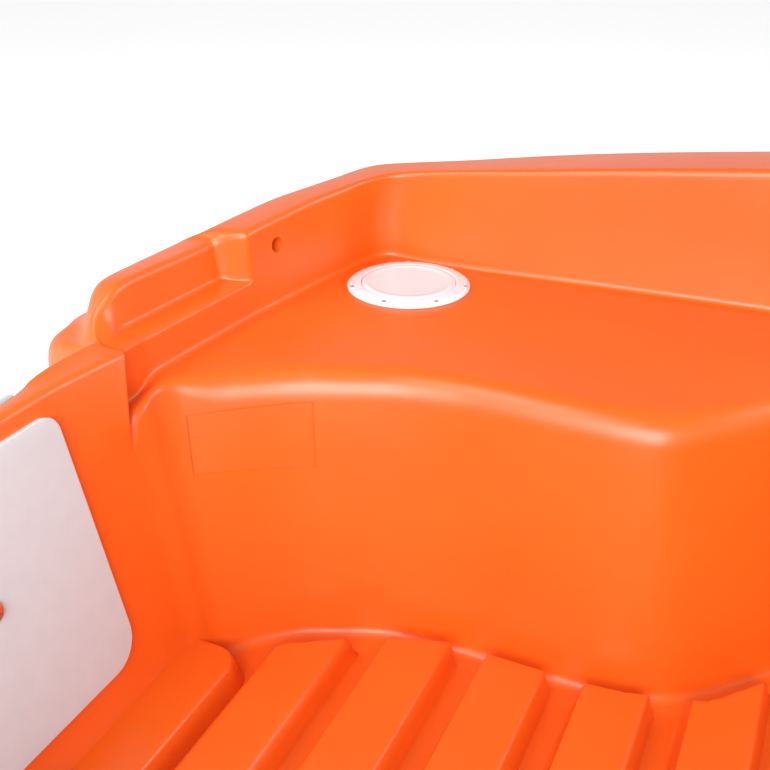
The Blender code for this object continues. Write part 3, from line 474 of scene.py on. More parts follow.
def frame_controls():
    """Control points of every section, port half: an array of frames x 13 points x XYZ.

    The points run B0 bottom, B1 chine, S2 topside, S1 under the roll, T2 lower and T3
    upper edge of the roll, I1 inner gunwale edge, I2 and I3 inner and outer edge of the
    ledge, I4 foot of the wall, I5 bench edge, I6 foot of the bench front, F floor.
    """
    rows = []
    for y, face_y, foot_y, low_y, outer_z, swell in TRANSOM_FRAMES:
        low = float(bottom_z(low_y / BOTTOM_Y, STERN_X))
        rows.append([
            (raked(TRANSOM_OUT, low) + 0.045, low_y, low), (raked(TRANSOM_OUT, low), y, low + 0.01),
            (raked(TRANSOM_OUT, 0.18), y, 0.18), (raked(TRANSOM_OUT, 0.30), y, 0.30),
            (raked(TRANSOM_OUT, 0.40), y, 0.40), (raked(TRANSOM_OUT, outer_z), y, outer_z),
            (TRANSOM_OUT + 0.008, y, 0.6 * TRANSOM_Z + 0.4 * outer_z), (TRANSOM_IN - 0.012, y, TRANSOM_Z),
            (TRANSOM_IN + swell, y, TRANSOM_Z), (raked(TRANSOM_IN, 0.385) + swell, face_y, 0.385),
            (raked(TRANSOM_IN, 0.345) + 0.6 * swell, (face_y + foot_y) / 2, 0.345),
            (raked(TRANSOM_IN, FLOOR_Z), foot_y, FLOOR_Z), (raked(TRANSOM_IN, FLOOR_Z), foot_y, FLOOR_Z)])
    for y, end, outer, outer_z, top, (wall_y, wall_z), tip, foot, under in SLOT_FRAMES:
        low = float(bottom_z(under[1] / BOTTOM_Y, STERN_X))
        rows.append([
            (under[0], under[1], low), (end + 0.028, y, low + 0.01), (end, y, 0.20),
            (end + 0.012, y, SHELF_Z + 0.008), (outer - 0.008, y, SHELF_Z + 0.016), (outer, y, outer_z),
            (outer + 0.012, y, top), (TRANSOM_IN - 0.022, y, LEDGE_Z + 0.002),
            (TRANSOM_IN + 0.002, y, LEDGE_Z + 0.002), (TRANSOM_IN + 0.003, wall_y, wall_z), tip,
            (foot[0], foot[1], FLOOR_Z), (foot[0], foot[1], FLOOR_Z)])
    for y, wall, edge, foot, top, outer, end, recess in WING:
        low_y = max(y, 0.5 * y + 0.165)
        low = float(bottom_z(low_y / BOTTOM_Y, STERN_X))
        ledge = wall[0] - 0.002
        back = ledge - RECESS * recess
        crest = top - 0.004 - 0.5 * max(0.0, 0.312 - y)
        shelf = SHELF_Z + SHELF_RISE * max(0.0, 1 - (y - WING[0][0]) / SHELF_RUN)
        rows.append([
            (end + 0.075, low_y, low), (end + 0.026, y, low + 0.01), (end, y, 0.20),
            (end + 0.045, y, shelf), (outer - 0.008, y, shelf + 0.008), (outer, y, crest),
            (back - 0.003 - 0.003 * recess, y, top), (back, y, LEDGE_Z), (ledge, y, LEDGE_Z),
            (wall[0], wall[1], BENCH_Z), (edge[0], edge[1], BENCH_Z), (foot[0], foot[1], FLOOR_Z),
            (foot[0], foot[1], FLOOR_Z)])
    rows += [corner_row(*plan) for plan in CORNER]
    rows += [loft_row(*plan) for plan in SIDE + BOW]
    return square_side(np.array(rows))


def corner_row(outer, inner, wall, edge, end, top):
    """A section through the stern corner, where the float stands out from the gunwale."""
    outer, inner, wall, end = np.array(outer), np.array(inner), np.array(wall), np.array(end)
    along = unit(wall - end)
    low = float(bottom_z(1.0, end[0])) + 0.01
    plan = (end + along * 0.075, end + along * 0.026, end, end + along * 0.045, outer - along * 0.008,
            outer, inner)
    heights = (low - 0.01, low, 0.20, SHELF_Z, SHELF_Z + 0.012, top - 0.004, top)
    rows = [(*place, height) for place, height in zip(plan, heights)]
    for share in (0.12, 0.24):
        rows.append((*(inner + (wall - inner) * share), top + (BENCH_Z - top) * share))
    return rows + [(*wall, BENCH_Z), (*edge, BENCH_Z), (*edge, FLOOR_Z), (*edge, FLOOR_Z)]


def loft_row(outer, wall, edge):
    """A section of the side or bow from its three plan points.

    The points that depend on the gunwale's direction are filled in by square_side.
    """
    x, y = outer
    rim = rim_z(x)
    skin = [(x, y, rim)] * 4 + [(x, y, rim - ROLL_DROP), (x, y, rim - 0.002)]
    liner = [(x, y, rim)] * 3 + [(*wall, BENCH_Z), (*edge, BENCH_Z), (*edge, FLOOR_Z), (*edge, FLOOR_Z)]
    return skin + liner


def square_side(rows):
    """Fill in the skin and the gunwale of the side and bow, and the bench fronts.

    The roll, topside and chine lie inward of the gunwale by fixed steps along its plan
    normal.  The inner gunwale edge stands over the wall along the side, and lies a fixed
    width in from the outer edge round the bow.  The bench front spreads by its draft.
    """
    corner = len(TRANSOM_FRAMES) + len(SLOT_FRAMES) + len(WING)
    first = corner + len(CORNER)
    last = first + len(SIDE)
    plan = rows[:, 5, :2]
    normal = inward(plan)
    wall_normal = inward(rows[:, 9, :2])
    edge_normal = inward(rows[:, 10, :2])
    for i in range(first, len(rows)):
        x = rows[i, 5, 0]
        bow = np.clip((x - 0.7) / 1.14, 0, 1)
        chine = CHINE_IN + STEM_IN * bow ** 2 * abs(normal[i, 0])
        for k, inset in enumerate((chine + 0.05, chine, 0.5 * chine, ROLL_IN)):
            rows[i, k, :2] = plan[i] + normal[i] * inset
        low = float(bottom_z(1.0, rows[i, 1, 0])) + 0.01
        under = rim_z(x) - ROLL_DROP - 0.014
        for k, height in enumerate((low - 0.01, low, low + 0.45 * (under - low), under)):
            rows[i, k, 2] = height
        rows[i, 6, :2] = rows[i, 9, :2] - wall_normal[i] * WALL_LEAN
        if i >= last:
            rows[i, 6, :2] = plan[i] + normal[i] * RIM
        wall = rows[i, 9] - rows[i, 6]
        rows[i, 7] = rows[i, 6] + wall * 0.12
        rows[i, 8] = rows[i, 6] + wall * 0.24
    spread = (BENCH_Z - FLOOR_Z) * tan(FACE_DRAFT)
    rows[corner:, 11, :2] = rows[corner:, 10, :2] + edge_normal[corner:] * spread
    foot = rows[:, 11, :2]
    rows[:, 12, :2] = foot + inward(foot) * FLOOR_MARGIN
    return rows


controls = frame_controls()
print("control points:", controls.shape)

# %% [markdown]
# ## The smooth skin
#
# Along the boat the thirteen points run on a quadratic B-spline, which passes near each
# frame without wiggles.  Within a section each corner is rounded by a parabola that
# starts a set distance before it and ends as far after it: 6 mm at the ledge, 32 mm at
# the bench edge, 60 mm on the topside.  Both are whole-array sums, so hundreds of
# sections take no time.

# %% Sections of the skin
SOFTEN = (0, 0.030, 0.060, 0.036, 0.014, 0.016, 0.009, 0.006, 0.006, 0.008, 0.032, 0.012, 0)
CORNER_POINTS = (1, 5, 7, 7, 6, 8, 7, 6, 6, 8, 12, 9, 1)
BENCH_EDGE = 10                               # its number among the thirteen points


def spline(rows, places):
    """Quadratic B-spline of rows of points, read at fractional row numbers.

    Between the middles of two neighbouring sides of the control polygon the curve is
    half (1 - t) squared of the first row, a half plus t less t squared of the second,
    and half t squared of the third.  Rows before the first and after the last are their
    mirror images in Y.
    """
    mirror = np.array([1, -1, 1])
    padded = np.concatenate([rows[1:2] * mirror, rows, rows[-2:-1] * mirror])
    row = np.minimum(np.floor(places + 0.5).astype(int), len(rows) - 1)
    t = (places - row + 0.5)[:, None, None]
    return (0.5 * (1 - t) ** 2 * padded[row] + (0.5 + t * (1 - t)) * padded[row + 1]
            + 0.5 * t ** 2 * padded[row + 2])


def round_section(points, bench=1.0):
    """Each corner k turns into a parabola of CORNER_POINTS[k] points, SOFTEN[k] long.

    The length at the bench edge is multiplied by bench, one number or one for each section.
    """
    out = [points[:, :1]]
    for k in range(1, points.shape[1] - 1):
        here = points[:, k]
        reach = SOFTEN[k] * (bench if k == BENCH_EDGE else 1.0)
        sides = []
        for other in (points[:, k - 1] - here, points[:, k + 1] - here):
            length = np.maximum(np.linalg.norm(other, axis=1), 1e-6)
            sides.append(here + other * np.minimum(reach / length, 0.45)[:, None])
        t = np.linspace(0, 1, CORNER_POINTS[k])[None, :, None]
        start, end = sides[0][:, None], sides[1][:, None]
        out.append((1 - t) ** 2 * start + 2 * t * (1 - t) * here[:, None] + t * t * end)
    return np.concatenate(out + [points[:, -1:]], axis=1)


print("a section has", sum(CORNER_POINTS), "points")

# %% [markdown]
# ## Sampling the skin and easing its tightest corner
#
# The frames stand close together where the shape turns fast, so the stern is sampled
# more finely than the sides.  Beside the notch the bench edge turns sharply, and there
# the mould's radius is smaller, so its rounding is cut back to a quarter.  Below the notch
# the wall turns from the transom into the bench front within a few frames, which the
# spline alone would crease.  Each pass moves a point half way to the middle of its two
# neighbours along the boat, which melts the crease as a mould maker's fillet does.

# %% Sample the sections
CRISP_PLACES, CRISP_SHARES = (4.5, 8.0, 9.5), (0.25, 0.35, 1.0)
EASE_FROM, EASE_TO, EASE_BLEND = 2.6, 7.2, 0.8      # frames between transom and notch
EASE_TOP, EASE_DEPTH, EASE_PASSES = 0.378, 0.03, 14     # nothing above that height moves
corner = len(TRANSOM_FRAMES) + len(SLOT_FRAMES) + len(WING)
last = len(controls) - 1
bow_start = last - len(BOW)
stern_places = np.concatenate([[0, 0.5, 1, 1.5, 1.75, 2, 2.25, 2.5, 2.75], np.arange(3, corner, 0.2)])
side_places = np.concatenate([np.arange(corner, bow_start - 4, 0.25),
                              np.arange(bow_start - 4, bow_start, 0.125)])
bow_places = np.linspace(bow_start, last, len(stern_places) + 1)
places = np.concatenate([stern_places, side_places, bow_places])
port = round_section(spline(controls, places), np.interp(places, CRISP_PLACES, CRISP_SHARES))
ease = np.clip(np.minimum(places - EASE_FROM, EASE_TO - places) / EASE_BLEND, 0, 1)[1:-1, None, None]
inner = np.arange(port.shape[1])[None, :, None] > sum(CORNER_POINTS[:6])
for _ in range(EASE_PASSES):
    low_part = np.clip((EASE_TOP - port[1:-1, :, 2:]) / EASE_DEPTH, 0, 1)
    port[1:-1] += 0.5 * ease * low_part * inner * ((port[:-2] + port[2:]) / 2 - port[1:-1])
port[[0, -1], :, 1] = 0
n_stern, n_side = len(stern_places), len(side_places)
print("sections", len(port), "of", port.shape[1], "points")

# %% [markdown]
# ## The underside
#
# The bottom is a four-sided patch between the stern, the chines and the bow.  A Coons
# patch blends its four edges in plan, and the keel formula then gives each point its
# height, so the keels and tunnels come out smooth whatever the outline does.

# %% Close the bottom and join both halves
AFT_ROWS = 6                                  # rows of the underside that run straight from the stern
share = np.ones(len(port))
share[:n_stern + 1] = port[:n_stern + 1, 0, 1] / port[n_stern, 0, 1]
share[-n_stern - 1:] = share[:n_stern + 1][::-1]
port[:, 0, 2] = bottom_z(share, port[:, 0, 0])


def underside(rim, share, n_stern, n_side, n_aft):
    """Grid of the port half of the bottom: rows from stern to bow, columns out from the keel.

    The first rows run straight from the stern to a cross line; the rest are a Coons
    patch, the sum of the two ruled surfaces less the bilinear one.
    """
    cross = n_stern + n_aft
    side, bow, stern = rim[cross:n_stern + n_side + 1], rim[:n_stern + n_side - 1:-1], rim[:n_stern + 1]
    line = np.stack([np.full(n_stern + 1, side[0, 0]), share * side[0, 1]], axis=1)
    r = np.linspace(0, 1, n_aft + 1)[:-1, None, None]
    aft = stern[None, :, :2] * (1 - r) + line[None] * r
    aft[:, -1] = rim[n_stern:cross, :2]
    u = np.linspace(0, 1, len(side))[:, None, None]
    v = share[None, :, None]
    middle = np.concatenate([side[0, 0] + u * (bow[0, 0] - side[0, 0]), 0 * u], axis=2)
    ruled = (1 - u) * line[None] + u * bow[None, :, :2]
    edges = (1 - v) * middle + v * side[:, None, :2]
    base = ((1 - v) * ((1 - u) * line[0] + u * bow[0, :2])
            + v * ((1 - u) * line[-1] + u * bow[-1, :2]))
    plan = np.concatenate([aft, ruled + edges - base])
    height = bottom_z(np.broadcast_to(share, plan.shape[:2]), plan[..., 0])
    return np.concatenate([plan, height[..., None]], axis=2)


bottom = underside(port[:, 0], share[:n_stern + 1], n_stern, n_side, AFT_ROWS)
flip = np.array([1, -1, 1])
skin = np.concatenate([port, port[-2:0:-1] * flip])
keel = np.concatenate([bottom[:, :0:-1] * flip, bottom], axis=1)
parts = [(skin.reshape(-1, 3), cells(*skin.shape[:2], True, False)),
         (keel.reshape(-1, 3), cells(*keel.shape[:2]))]
floor_loop = np.concatenate([port[:, -1], port[-2:0:-1, -1] * flip])
parts.append((floor_loop, [range(len(floor_loop))]))
hull = build("hull_skin", *joined(parts), orange, slot="orange_polyethylene", sharp=50)
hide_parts("hull_moulding")
print("hull skin:", len(hull.data.polygons), "faces")

# %% [markdown]
# ## Openings in the skin
#
# The hatch wells, the rope holes, the drain, the rowlock bores and the flat seats of the
# fittings are cut with one Boolean.  Each cutter is a lathe turning or a plate, laid on
# the hull by a transform, so one list holds them all whatever way they face.

# %% Turned and flat cutters
GAP = 0.0003                                  # between pieces that touch
HATCH_X, HATCH_Y, HATCH_R, COVER_R = -1.513, 0.630, 0.076, 0.058
WELL_R, WELL_DEPTH, SEAT_MARGIN = 0.0605, 0.170, 0.0009
HOLE_AT, HOLE_R = (-1.627, 0.520, 0.470), 0.0092
DRAIN_Z, DRAIN_R = 0.140, 0.0153
ROWLOCK_X, ROWLOCK_Y, ROWLOCK_SINK = -0.330, 0.800, 0.0015
SHEER_ANGLE = 0.0977                          # the gunwale's rise as an angle
BORE_R, BORE_DEPTH, FLANGE_R = 0.0128, 0.055, 0.0243
EYE_W, EYE_L, EYE_R = 0.034, 0.078, 0.014
BOW_EYE_AT, BOW_EYE_OUT = (1.610, 0.0, 0.520), (0.746, 0, -0.666)
STERN_EYE_AT, STERN_EYE_OUT = (-1.8166, 0.520, 0.312), (-0.980, 0, 0.200)
FOOT_W, FOOT_L, FOOT_R, HANDLE_HALF = 0.034, 0.046, 0.012, 0.085
HANDLE_AT, HANDLE_OUT, HANDLE_ALONG = (1.593, 0.549, 0.8290), (-0.057, 0.071, 0.996), (0.806, -0.592, 0.0)
STAND_OUT = 0.06                              # a plate cutter reaches this far out of the hull
UP = (0, 0, 1)
SIDES = (("port", 1), ("starboard", -1))


def outline(width, height, top, low, steps=8):
    """A rectangle about the origin, with one radius for its top and one for its low corners."""
    points = []
    for sx, sy, start in ((1, 1, 0), (-1, 1, 90), (-1, -1, 180), (1, -1, 270)):
        r = top if sy > 0 else low
        a = np.radians(start + 90 * np.arange(steps + 1) / steps)
        points.append(np.stack([sx * (width / 2 - r) + r * np.cos(a),
                                sy * (height / 2 - r) + r * np.sin(a)], axis=1))
    return np.concatenate(points)


def board_of(edge, thick, soft=0.0, steps=4):
    """A plate of an outline from z = 0 to its thickness, with its top edge rounded.

    The outline is repeated at rising heights; over the rounding it shrinks by one less
    the cosine, and rises by the sine, of an angle that goes from zero to a quarter turn.
    """
    a = np.linspace(0, pi / 2, steps + 1) if soft else np.zeros(1)
    inset = np.concatenate([[0.0], soft * (1 - np.cos(a))])
    height = np.concatenate([[0.0], thick - soft + soft * np.sin(a)])
    middle = edge.mean(axis=0)
    reach = np.linalg.norm(edge - middle, axis=1, keepdims=True)
    rings = [np.concatenate([edge - (edge - middle) / reach * i, np.full((len(edge), 1), z)], axis=1)
             for i, z in zip(inset, height)]
    points = np.concatenate(rings)
    faces = [list(f) for f in cells(len(rings), len(edge), False, True)]
    faces += [list(range(len(edge)))[::-1], list(range(len(points) - len(edge), len(points)))]
    return points, faces


def mirror_point(point, sign):
    """The point, or its like on the starboard side."""
    return Vector((point[0], sign * point[1], point[2]))


def eye_places():
    """Transforms of the towing eyes: one on the stem and one on each float."""
    places = {"bow_eye": on_face(BOW_EYE_AT, BOW_EYE_OUT, UP)}
    for side, sign in SIDES:
        places[f"stern_eye_{side}"] = on_face(mirror_point(STERN_EYE_AT, sign), STERN_EYE_OUT, UP)
    return places


def handle_place(sign):
    """The transform of a carrying handle on the gunwale at the bow."""
    return on_face(mirror_point(HANDLE_AT, sign), mirror_point(HANDLE_OUT, sign),
                   mirror_point(HANDLE_ALONG, sign))


def rowlock_place(sign):
    """The transform of a rowlock, square on the rising gunwale."""
    middle = (ROWLOCK_X, sign * ROWLOCK_Y, rim_z(ROWLOCK_X) - ROWLOCK_SINK)
    return Matrix.Translation(middle) @ Matrix.Rotation(-SHEER_ANGLE, 4, "Y")


def drill(radius):
    """A rod along Z, longer than any wall is thick."""
    return lathe([(0, -0.2), (radius, -0.2), (radius, 0.1), (0, 0.1)], 40)


lengthwise = Matrix.Rotation(pi / 2, 4, "Y")
seat = BENCH_Z + GAP / 2
cutters = []
for side, sign in SIDES:
    well = lathe([(0, BENCH_Z - WELL_DEPTH), (WELL_R, BENCH_Z - WELL_DEPTH), (WELL_R, seat),
                  (HATCH_R + SEAT_MARGIN, seat), (HATCH_R + SEAT_MARGIN, seat + 0.03), (0, seat + 0.03)])
    cutters.append((placed(well[0], Matrix.Translation((HATCH_X, sign * HATCH_Y, 0))), well[1]))
    hole = drill(HOLE_R)
    middle = Matrix.Translation(mirror_point(HOLE_AT, sign))
    cutters.append((placed(hole[0], middle @ lengthwise), hole[1]))
    bore = lathe([(0, -BORE_DEPTH), (BORE_R, -BORE_DEPTH), (BORE_R, -GAP), (FLANGE_R, -GAP),
                  (FLANGE_R, 0.02), (0, 0.02)], 48)
    cutters.append((placed(bore[0], rowlock_place(sign)), bore[1]))
    for end in (-HANDLE_HALF, HANDLE_HALF):
        foot = board_of(outline(FOOT_W + 2 * GAP, FOOT_L + 2 * GAP, FOOT_R, FOOT_R), STAND_OUT)
        lift = Matrix.Translation((0, end, -GAP))
        cutters.append((placed(foot[0], handle_place(sign) @ lift), foot[1]))
for place in eye_places().values():
    foot = board_of(outline(EYE_W + 2 * GAP, EYE_L + 2 * GAP, EYE_R, EYE_R), STAND_OUT)
    cutters.append((placed(foot[0], place @ Matrix.Translation((0, 0, -GAP))), foot[1]))
pipe = drill(DRAIN_R)
middle = Matrix.Translation((raked(TRANSOM_IN, DRAIN_Z), 0, DRAIN_Z))
cutters.append((placed(pipe[0], middle @ lengthwise), pipe[1]))
print(len(cutters), "cutters")

# %% [markdown]
# ## The bare panel
#
# The stern bench's front has a shallow rectangle with a fine groove round it, a place for
# a data plate that is left bare.  It follows the curved wall, so its cutters are made
# from the skin's own sections.  A flat cutter would sink at its middle or miss its ends.
# The panel is one millimetre deep and its groove less than two.

# %% The bare panel on the bench front
FRONT = 1 + sum(CORNER_POINTS[1:11])          # first point below the rounded bench edge
READ_Z = 0.335                                # height at which the front's y is read
FINE = 400                                    # places at which it is read
AFT_LOW, FORE_LOW = (0.2841, 0.2998), (0.3589, 0.2968)
AFT_HIGH, FORE_HIGH = (0.2890, 0.3635), (0.3583, 0.3688)
PANEL_DEPTH = 0.0010
LINE, LINE_DEPTH = 0.0009, 0.0016             # the groove that frames the panel


def front_at(places, heights):
    """Points on the straight part of the bench front, at those places and heights."""
    sections = round_section(spline(controls, places))
    top, foot = sections[:, FRONT - 1], sections[:, FRONT]
    t = (heights - top[:, 2]) / (foot[:, 2] - top[:, 2])
    return top + (foot - top) * t[:, None]


def panel_cutter(low, high, depth, reach, count=28):
    """A slab that follows the bench front, from its depth below the skin out to its reach.

    low and high are the aft and forward ends of its lower and upper edge.  Each end is the
    y of the front at READ_Z, which says how far round the corner it is, and its height.
    """
    fine = np.linspace(len(TRANSOM_FRAMES) + len(SLOT_FRAMES), corner - 4, FINE)
    y_of = front_at(fine, np.full(FINE, READ_Z))[:, 1]
    share = np.linspace(0, 1, count)[:, None]
    lower, upper = ((1 - share) * np.array(line[0]) + share * np.array(line[1]) for line in (low, high))
    rows = []
    for t in np.linspace(0, 1, 9):
        line = (1 - t) * lower + t * upper
        rows.append(front_at(np.interp(line[:, 0], y_of, fine), line[:, 1]))
    sheet = np.stack(rows)
    out = np.cross(sheet[0, -1] - sheet[0, 0], sheet[-1, 0] - sheet[0, 0])
    out = out / np.linalg.norm(out) * np.sign(out[0])
    ring = np.concatenate([sheet + out * reach, (sheet - out * depth)[::-1]])
    flat = ring.reshape(-1, 3)
    ends = [[r * count for r in range(len(ring))], [r * count + count - 1 for r in range(len(ring))][::-1]]
    return flat, [list(f) for f in cells(len(ring), count, True, False)] + ends


def along(end, step):
    """A corner of the panel, moved along its edge."""
    return end[0] + step, end[1]


def above(end, step):
    """A corner of the panel, moved up or down."""
    return end[0], end[1] + step


cutters.append(panel_cutter((AFT_LOW, FORE_LOW), (AFT_HIGH, FORE_HIGH), PANEL_DEPTH, 0.006))
grooves = (
    ((AFT_LOW, FORE_LOW), (above(AFT_LOW, LINE), above(FORE_LOW, LINE))),
    ((above(AFT_HIGH, -LINE), above(FORE_HIGH, -LINE)), (AFT_HIGH, FORE_HIGH)),
    ((AFT_LOW, along(AFT_LOW, LINE)), (AFT_HIGH, along(AFT_HIGH, LINE))),
    ((along(FORE_LOW, -LINE), FORE_LOW), (along(FORE_HIGH, -LINE), FORE_HIGH)))
for low_edge, high_edge in grooves:
    cutters.append(panel_cutter(low_edge, high_edge, LINE_DEPTH, 0.005))
print(len(cutters), "cutters with the panel's and its groove's")

# %% [markdown]
# ## One cut for all
#
# A Boolean with the exact solver takes every cutter away at once.  The groove's slabs
# overlap the panel's, so the solver is told that the cutters cross each other.

# %% Cut the openings
tool = build("cutters", *joined(cutters), orange, body=None)
cut = hull.modifiers.new("openings", "BOOLEAN")
cut.object = tool
cut.solver = "EXACT"
cut.use_self = True
solid = bpy.data.meshes.new_from_object(hull.evaluated_get(bpy.context.evaluated_depsgraph_get()))
hull.modifiers.clear()
hull.data = solid
bpy.data.objects.remove(tool)
hull.data.shade_smooth()
hull.data.set_sharp_from_angle(angle=radians(45))
print("hull skin with its openings:", len(hull.data.polygons), "faces")

# %% [markdown]
# ## The cockpit sole
#
# The floor of the mould has raised bars across the boat, so that feet don't slip and
# water runs past them.  The photograph shows the port ends of the first ones.  One height
# formula gives them all: a bar is the product of three smooth steps, one for each long
# edge and one for its ends, which gives it rounded shoulders and a filleted foot.

# %% Raise the bars of the sole
TREADS, TREAD_X, TREAD_PITCH, TREAD_L, TREAD_H = 21, -1.501, 0.1025, 0.070, 0.033
TREAD_EDGE = (
    # half width of the tread bars along the floor
    (-1.501, 0.264), (-1.428, 0.308), (-1.394, 0.326), (-1.330, 0.346), (-1.150, 0.350),
    (-1.070, 0.375), (-0.960, 0.500), (-0.890, 0.548), (-0.400, 0.552), (0.400, 0.536),
    (0.560, 0.500), (0.680, 0.400), (0.760, 0.220),
)
BAR_EDGE, BAR_END = 0.010, 0.016              # widths of the bars' slopes, along and across
SOLE_END = 0.800
TUCK = 0.004                                  # the sole runs this far into the bench fronts
SKIM = 0.0004                                 # and lies this far over the floor of the skin
RIM_DIP = 0.0012                              # its rim dips by this much, to go under the fillet
UNDER = 0.008                                 # depth of a height field's underside


def smooth_step(distance, width):
    """Three t squared less two t cubed, of the distance over the width, held to 0 and 1."""
    t = np.clip(distance / width + 0.5, 0, 1)
    return t * t * (3 - 2 * t)


def sole_height(x, y):
    """Height of the sole above the floor: the bars across it."""
    offset = np.mod(x - TREAD_X, TREAD_PITCH)
    inside = (x > TREAD_X - BAR_EDGE) & (x < TREAD_X + TREADS * TREAD_PITCH)
    half = np.interp(x, *zip(*TREAD_EDGE))
    bar = smooth_step(offset, BAR_EDGE) * smooth_step(TREAD_L - offset, BAR_EDGE)
    bar = bar + smooth_step(offset - TREAD_PITCH, BAR_EDGE)
    bar = bar * smooth_step(half - np.abs(y), BAR_END) * inside
    return TREAD_H * bar


def height_field(name, x, y, rise):
    """A closed slab whose top is the floor plus rise, and whose flat underside lies below it.

    Each row of the grid runs out along the top and back along the underside, so the
    rows are loops, and the first and last of them are the two end faces.
    """
    top = np.stack([x, y, FLOOR_Z + rise], axis=-1)
    under = top[:, ::-1] * np.array([1, 1, 0]) + np.array([0, 0, FLOOR_Z - UNDER])
    loop = np.concatenate([top, under], axis=1)
    count = loop.shape[1]
    caps = [list(range(count))[::-1], [(len(loop) - 1) * count + i for i in range(count)]]
    return build(name, loop.reshape(-1, 3), [list(f) for f in cells(*loop.shape[:2], False, True)] + caps,
                 orange, slot="orange_polyethylene", sharp=60)


edge = port[:, -1]
stations = np.linspace(edge[0, 0] + 0.0005, SOLE_END, 640)
half_width = np.interp(stations, np.maximum.accumulate(edge[:, 0]), edge[:, 1]) + TUCK
across = np.sin(np.linspace(-pi / 2, pi / 2, 73))
x, t = np.meshgrid(stations, across, indexing="ij")
y = t * half_width[:, None]
rise = SKIM + sole_height(x, y) - RIM_DIP * np.abs(t) ** 24
sole = height_field("cockpit_sole", x, y, rise)
print("sole:", len(sole.data.polygons), "faces, bars", round(1000 * TREAD_H), "mm high")

# %% [markdown]
# ## The boss at the foot of the transom
#
# The first raised bar runs along the transom and is wider than the others, with round
# ends that nearly fill the corners of the well.  It is a height field again: the distance
# inside a rounded rectangle, put through the same smooth step.

# %% Raise the boss
BOSS_X, BOSS_HALF, BOSS_Y, BOSS_R = -1.560, 0.045, 0.242, 0.036
SINK = 0.002                                  # its rim starts this far below the floor
x, y = np.meshgrid(np.linspace(BOSS_X - 0.052, BOSS_X + 0.052, 70), np.linspace(-0.250, 0.250, 260),
                   indexing="ij")
beyond = np.stack([np.abs(x - BOSS_X) - BOSS_HALF + BOSS_R, np.abs(y) - BOSS_Y + BOSS_R])
inside = BOSS_R - np.linalg.norm(np.maximum(beyond, 0), axis=0) - np.minimum(beyond.max(axis=0), 0)
height_field("transom_boss", x, y, TREAD_H * smooth_step(inside - 0.004, 0.014) - SINK)
print("boss", round(2 * BOSS_Y, 3), "m wide")

# %% [markdown]
# ## The deck hatches
#
# Each stern bench has a round inspection hatch: a ring held by seven countersunk screws,
# and a cover that screws into it.  Both are turned shapes, so a profile of a few corners,
# rounded and revolved, gives the mouldings' soft lips.  The cover has a shallow dish and
# two crescent finger grips near its edge.

# %% Turn the rings and covers
def at_hatch(shape, sign):
    """A turned shape moved onto its hatch."""
    return placed(shape[0], Matrix.Translation((HATCH_X, sign * HATCH_Y, 0))), shape[1]


RING_FOOT = BENCH_Z + GAP
SLEEVE_R, SLEEVE_IN = WELL_R - 0.0006, WELL_R - 0.006      # the ring's sleeve in the well
LIP_R = COVER_R + 0.0003
COVER_FOOT = RING_FOOT + 0.0018
PLUG_R = WELL_R - 0.0085                      # the cover's plug, inside the sleeve


def raised(profile, foot):
    """The profile with its heights counted from its foot."""
    return [(radius, foot + height) for radius, height in profile]


ring_profile = rounded(raised([
    (SLEEVE_IN, -0.020), (SLEEVE_R, -0.020), (SLEEVE_R, 0), (HATCH_R, 0), (HATCH_R, 0.0026),
    (HATCH_R - 0.0045, 0.0052), (COVER_R + 0.0035, 0.0065), (LIP_R, 0.0063), (LIP_R, 0.0015),
    (SLEEVE_IN, 0.0015), (SLEEVE_IN, -0.020)], RING_FOOT), 0.0012)
cover_profile = rounded(raised([
    (0, -0.012), (PLUG_R, -0.012), (PLUG_R, 0), (COVER_R, 0), (COVER_R, 0.0044),
    (COVER_R - 0.0060, 0.0050), (0.046, 0.0038), (0.020, 0.0030), (0, 0.0030)], COVER_FOOT), 0.0016)
for side, sign in SIDES:
    ring = build(f"hatch_ring_moulding_{side}", *at_hatch(lathe(ring_profile, 144), sign), white,
                 slot="white_plastic", sharp=50)
    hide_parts(f"hatch_ring_{side}")
    lid = build(f"hatch_cover_moulding_{side}", *at_hatch(lathe(cover_profile, 144), sign), white,
                body=f"hatch_cover_{side}", slot="white_plastic", sharp=50)
    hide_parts(f"hatch_cover_{side}")
print("cover's top at", round(COVER_FOOT + 0.0050, 4), "m")

# %% [markdown]
# ## Grips and screws of the hatches
#
# A grip is a thin crescent that stands a little proud of the cover: its width follows a
# sine from end to end.  The screws are small countersunk heads with a cross recess, and
# sit in the ring's sloping rim.

# %% Add grips and screws
def crescent(radius, middle, spread, width, base, height, steps=24):
    """A bar along an arc whose width is a sine of the way along it, closed at both ends."""
    way = np.linspace(0.02, 0.98, steps)
    angle = middle + spread * (way - 0.5)
    wide = width * np.sin(pi * way)
    corners = [(-0.5, 0.0), (-0.42, 0.8), (0.0, 1.0), (0.42, 0.8), (0.5, 0.0)]
    rows = [np.stack([(radius + wide * across) * np.cos(angle), (radius + wide * across) * np.sin(angle),
                      base + height * rise * np.sin(pi * way) ** 0.5], axis=1) for across, rise in corners]
    grid = np.stack(rows)
    flat = grid.reshape(-1, 3)
    faces = [list(f) for f in cells(*grid.shape[:2], True, False)]
    ends = [[r * steps for r in range(len(rows))], [r * steps + steps - 1 for r in range(len(rows))][::-1]]
    return flat, faces + ends


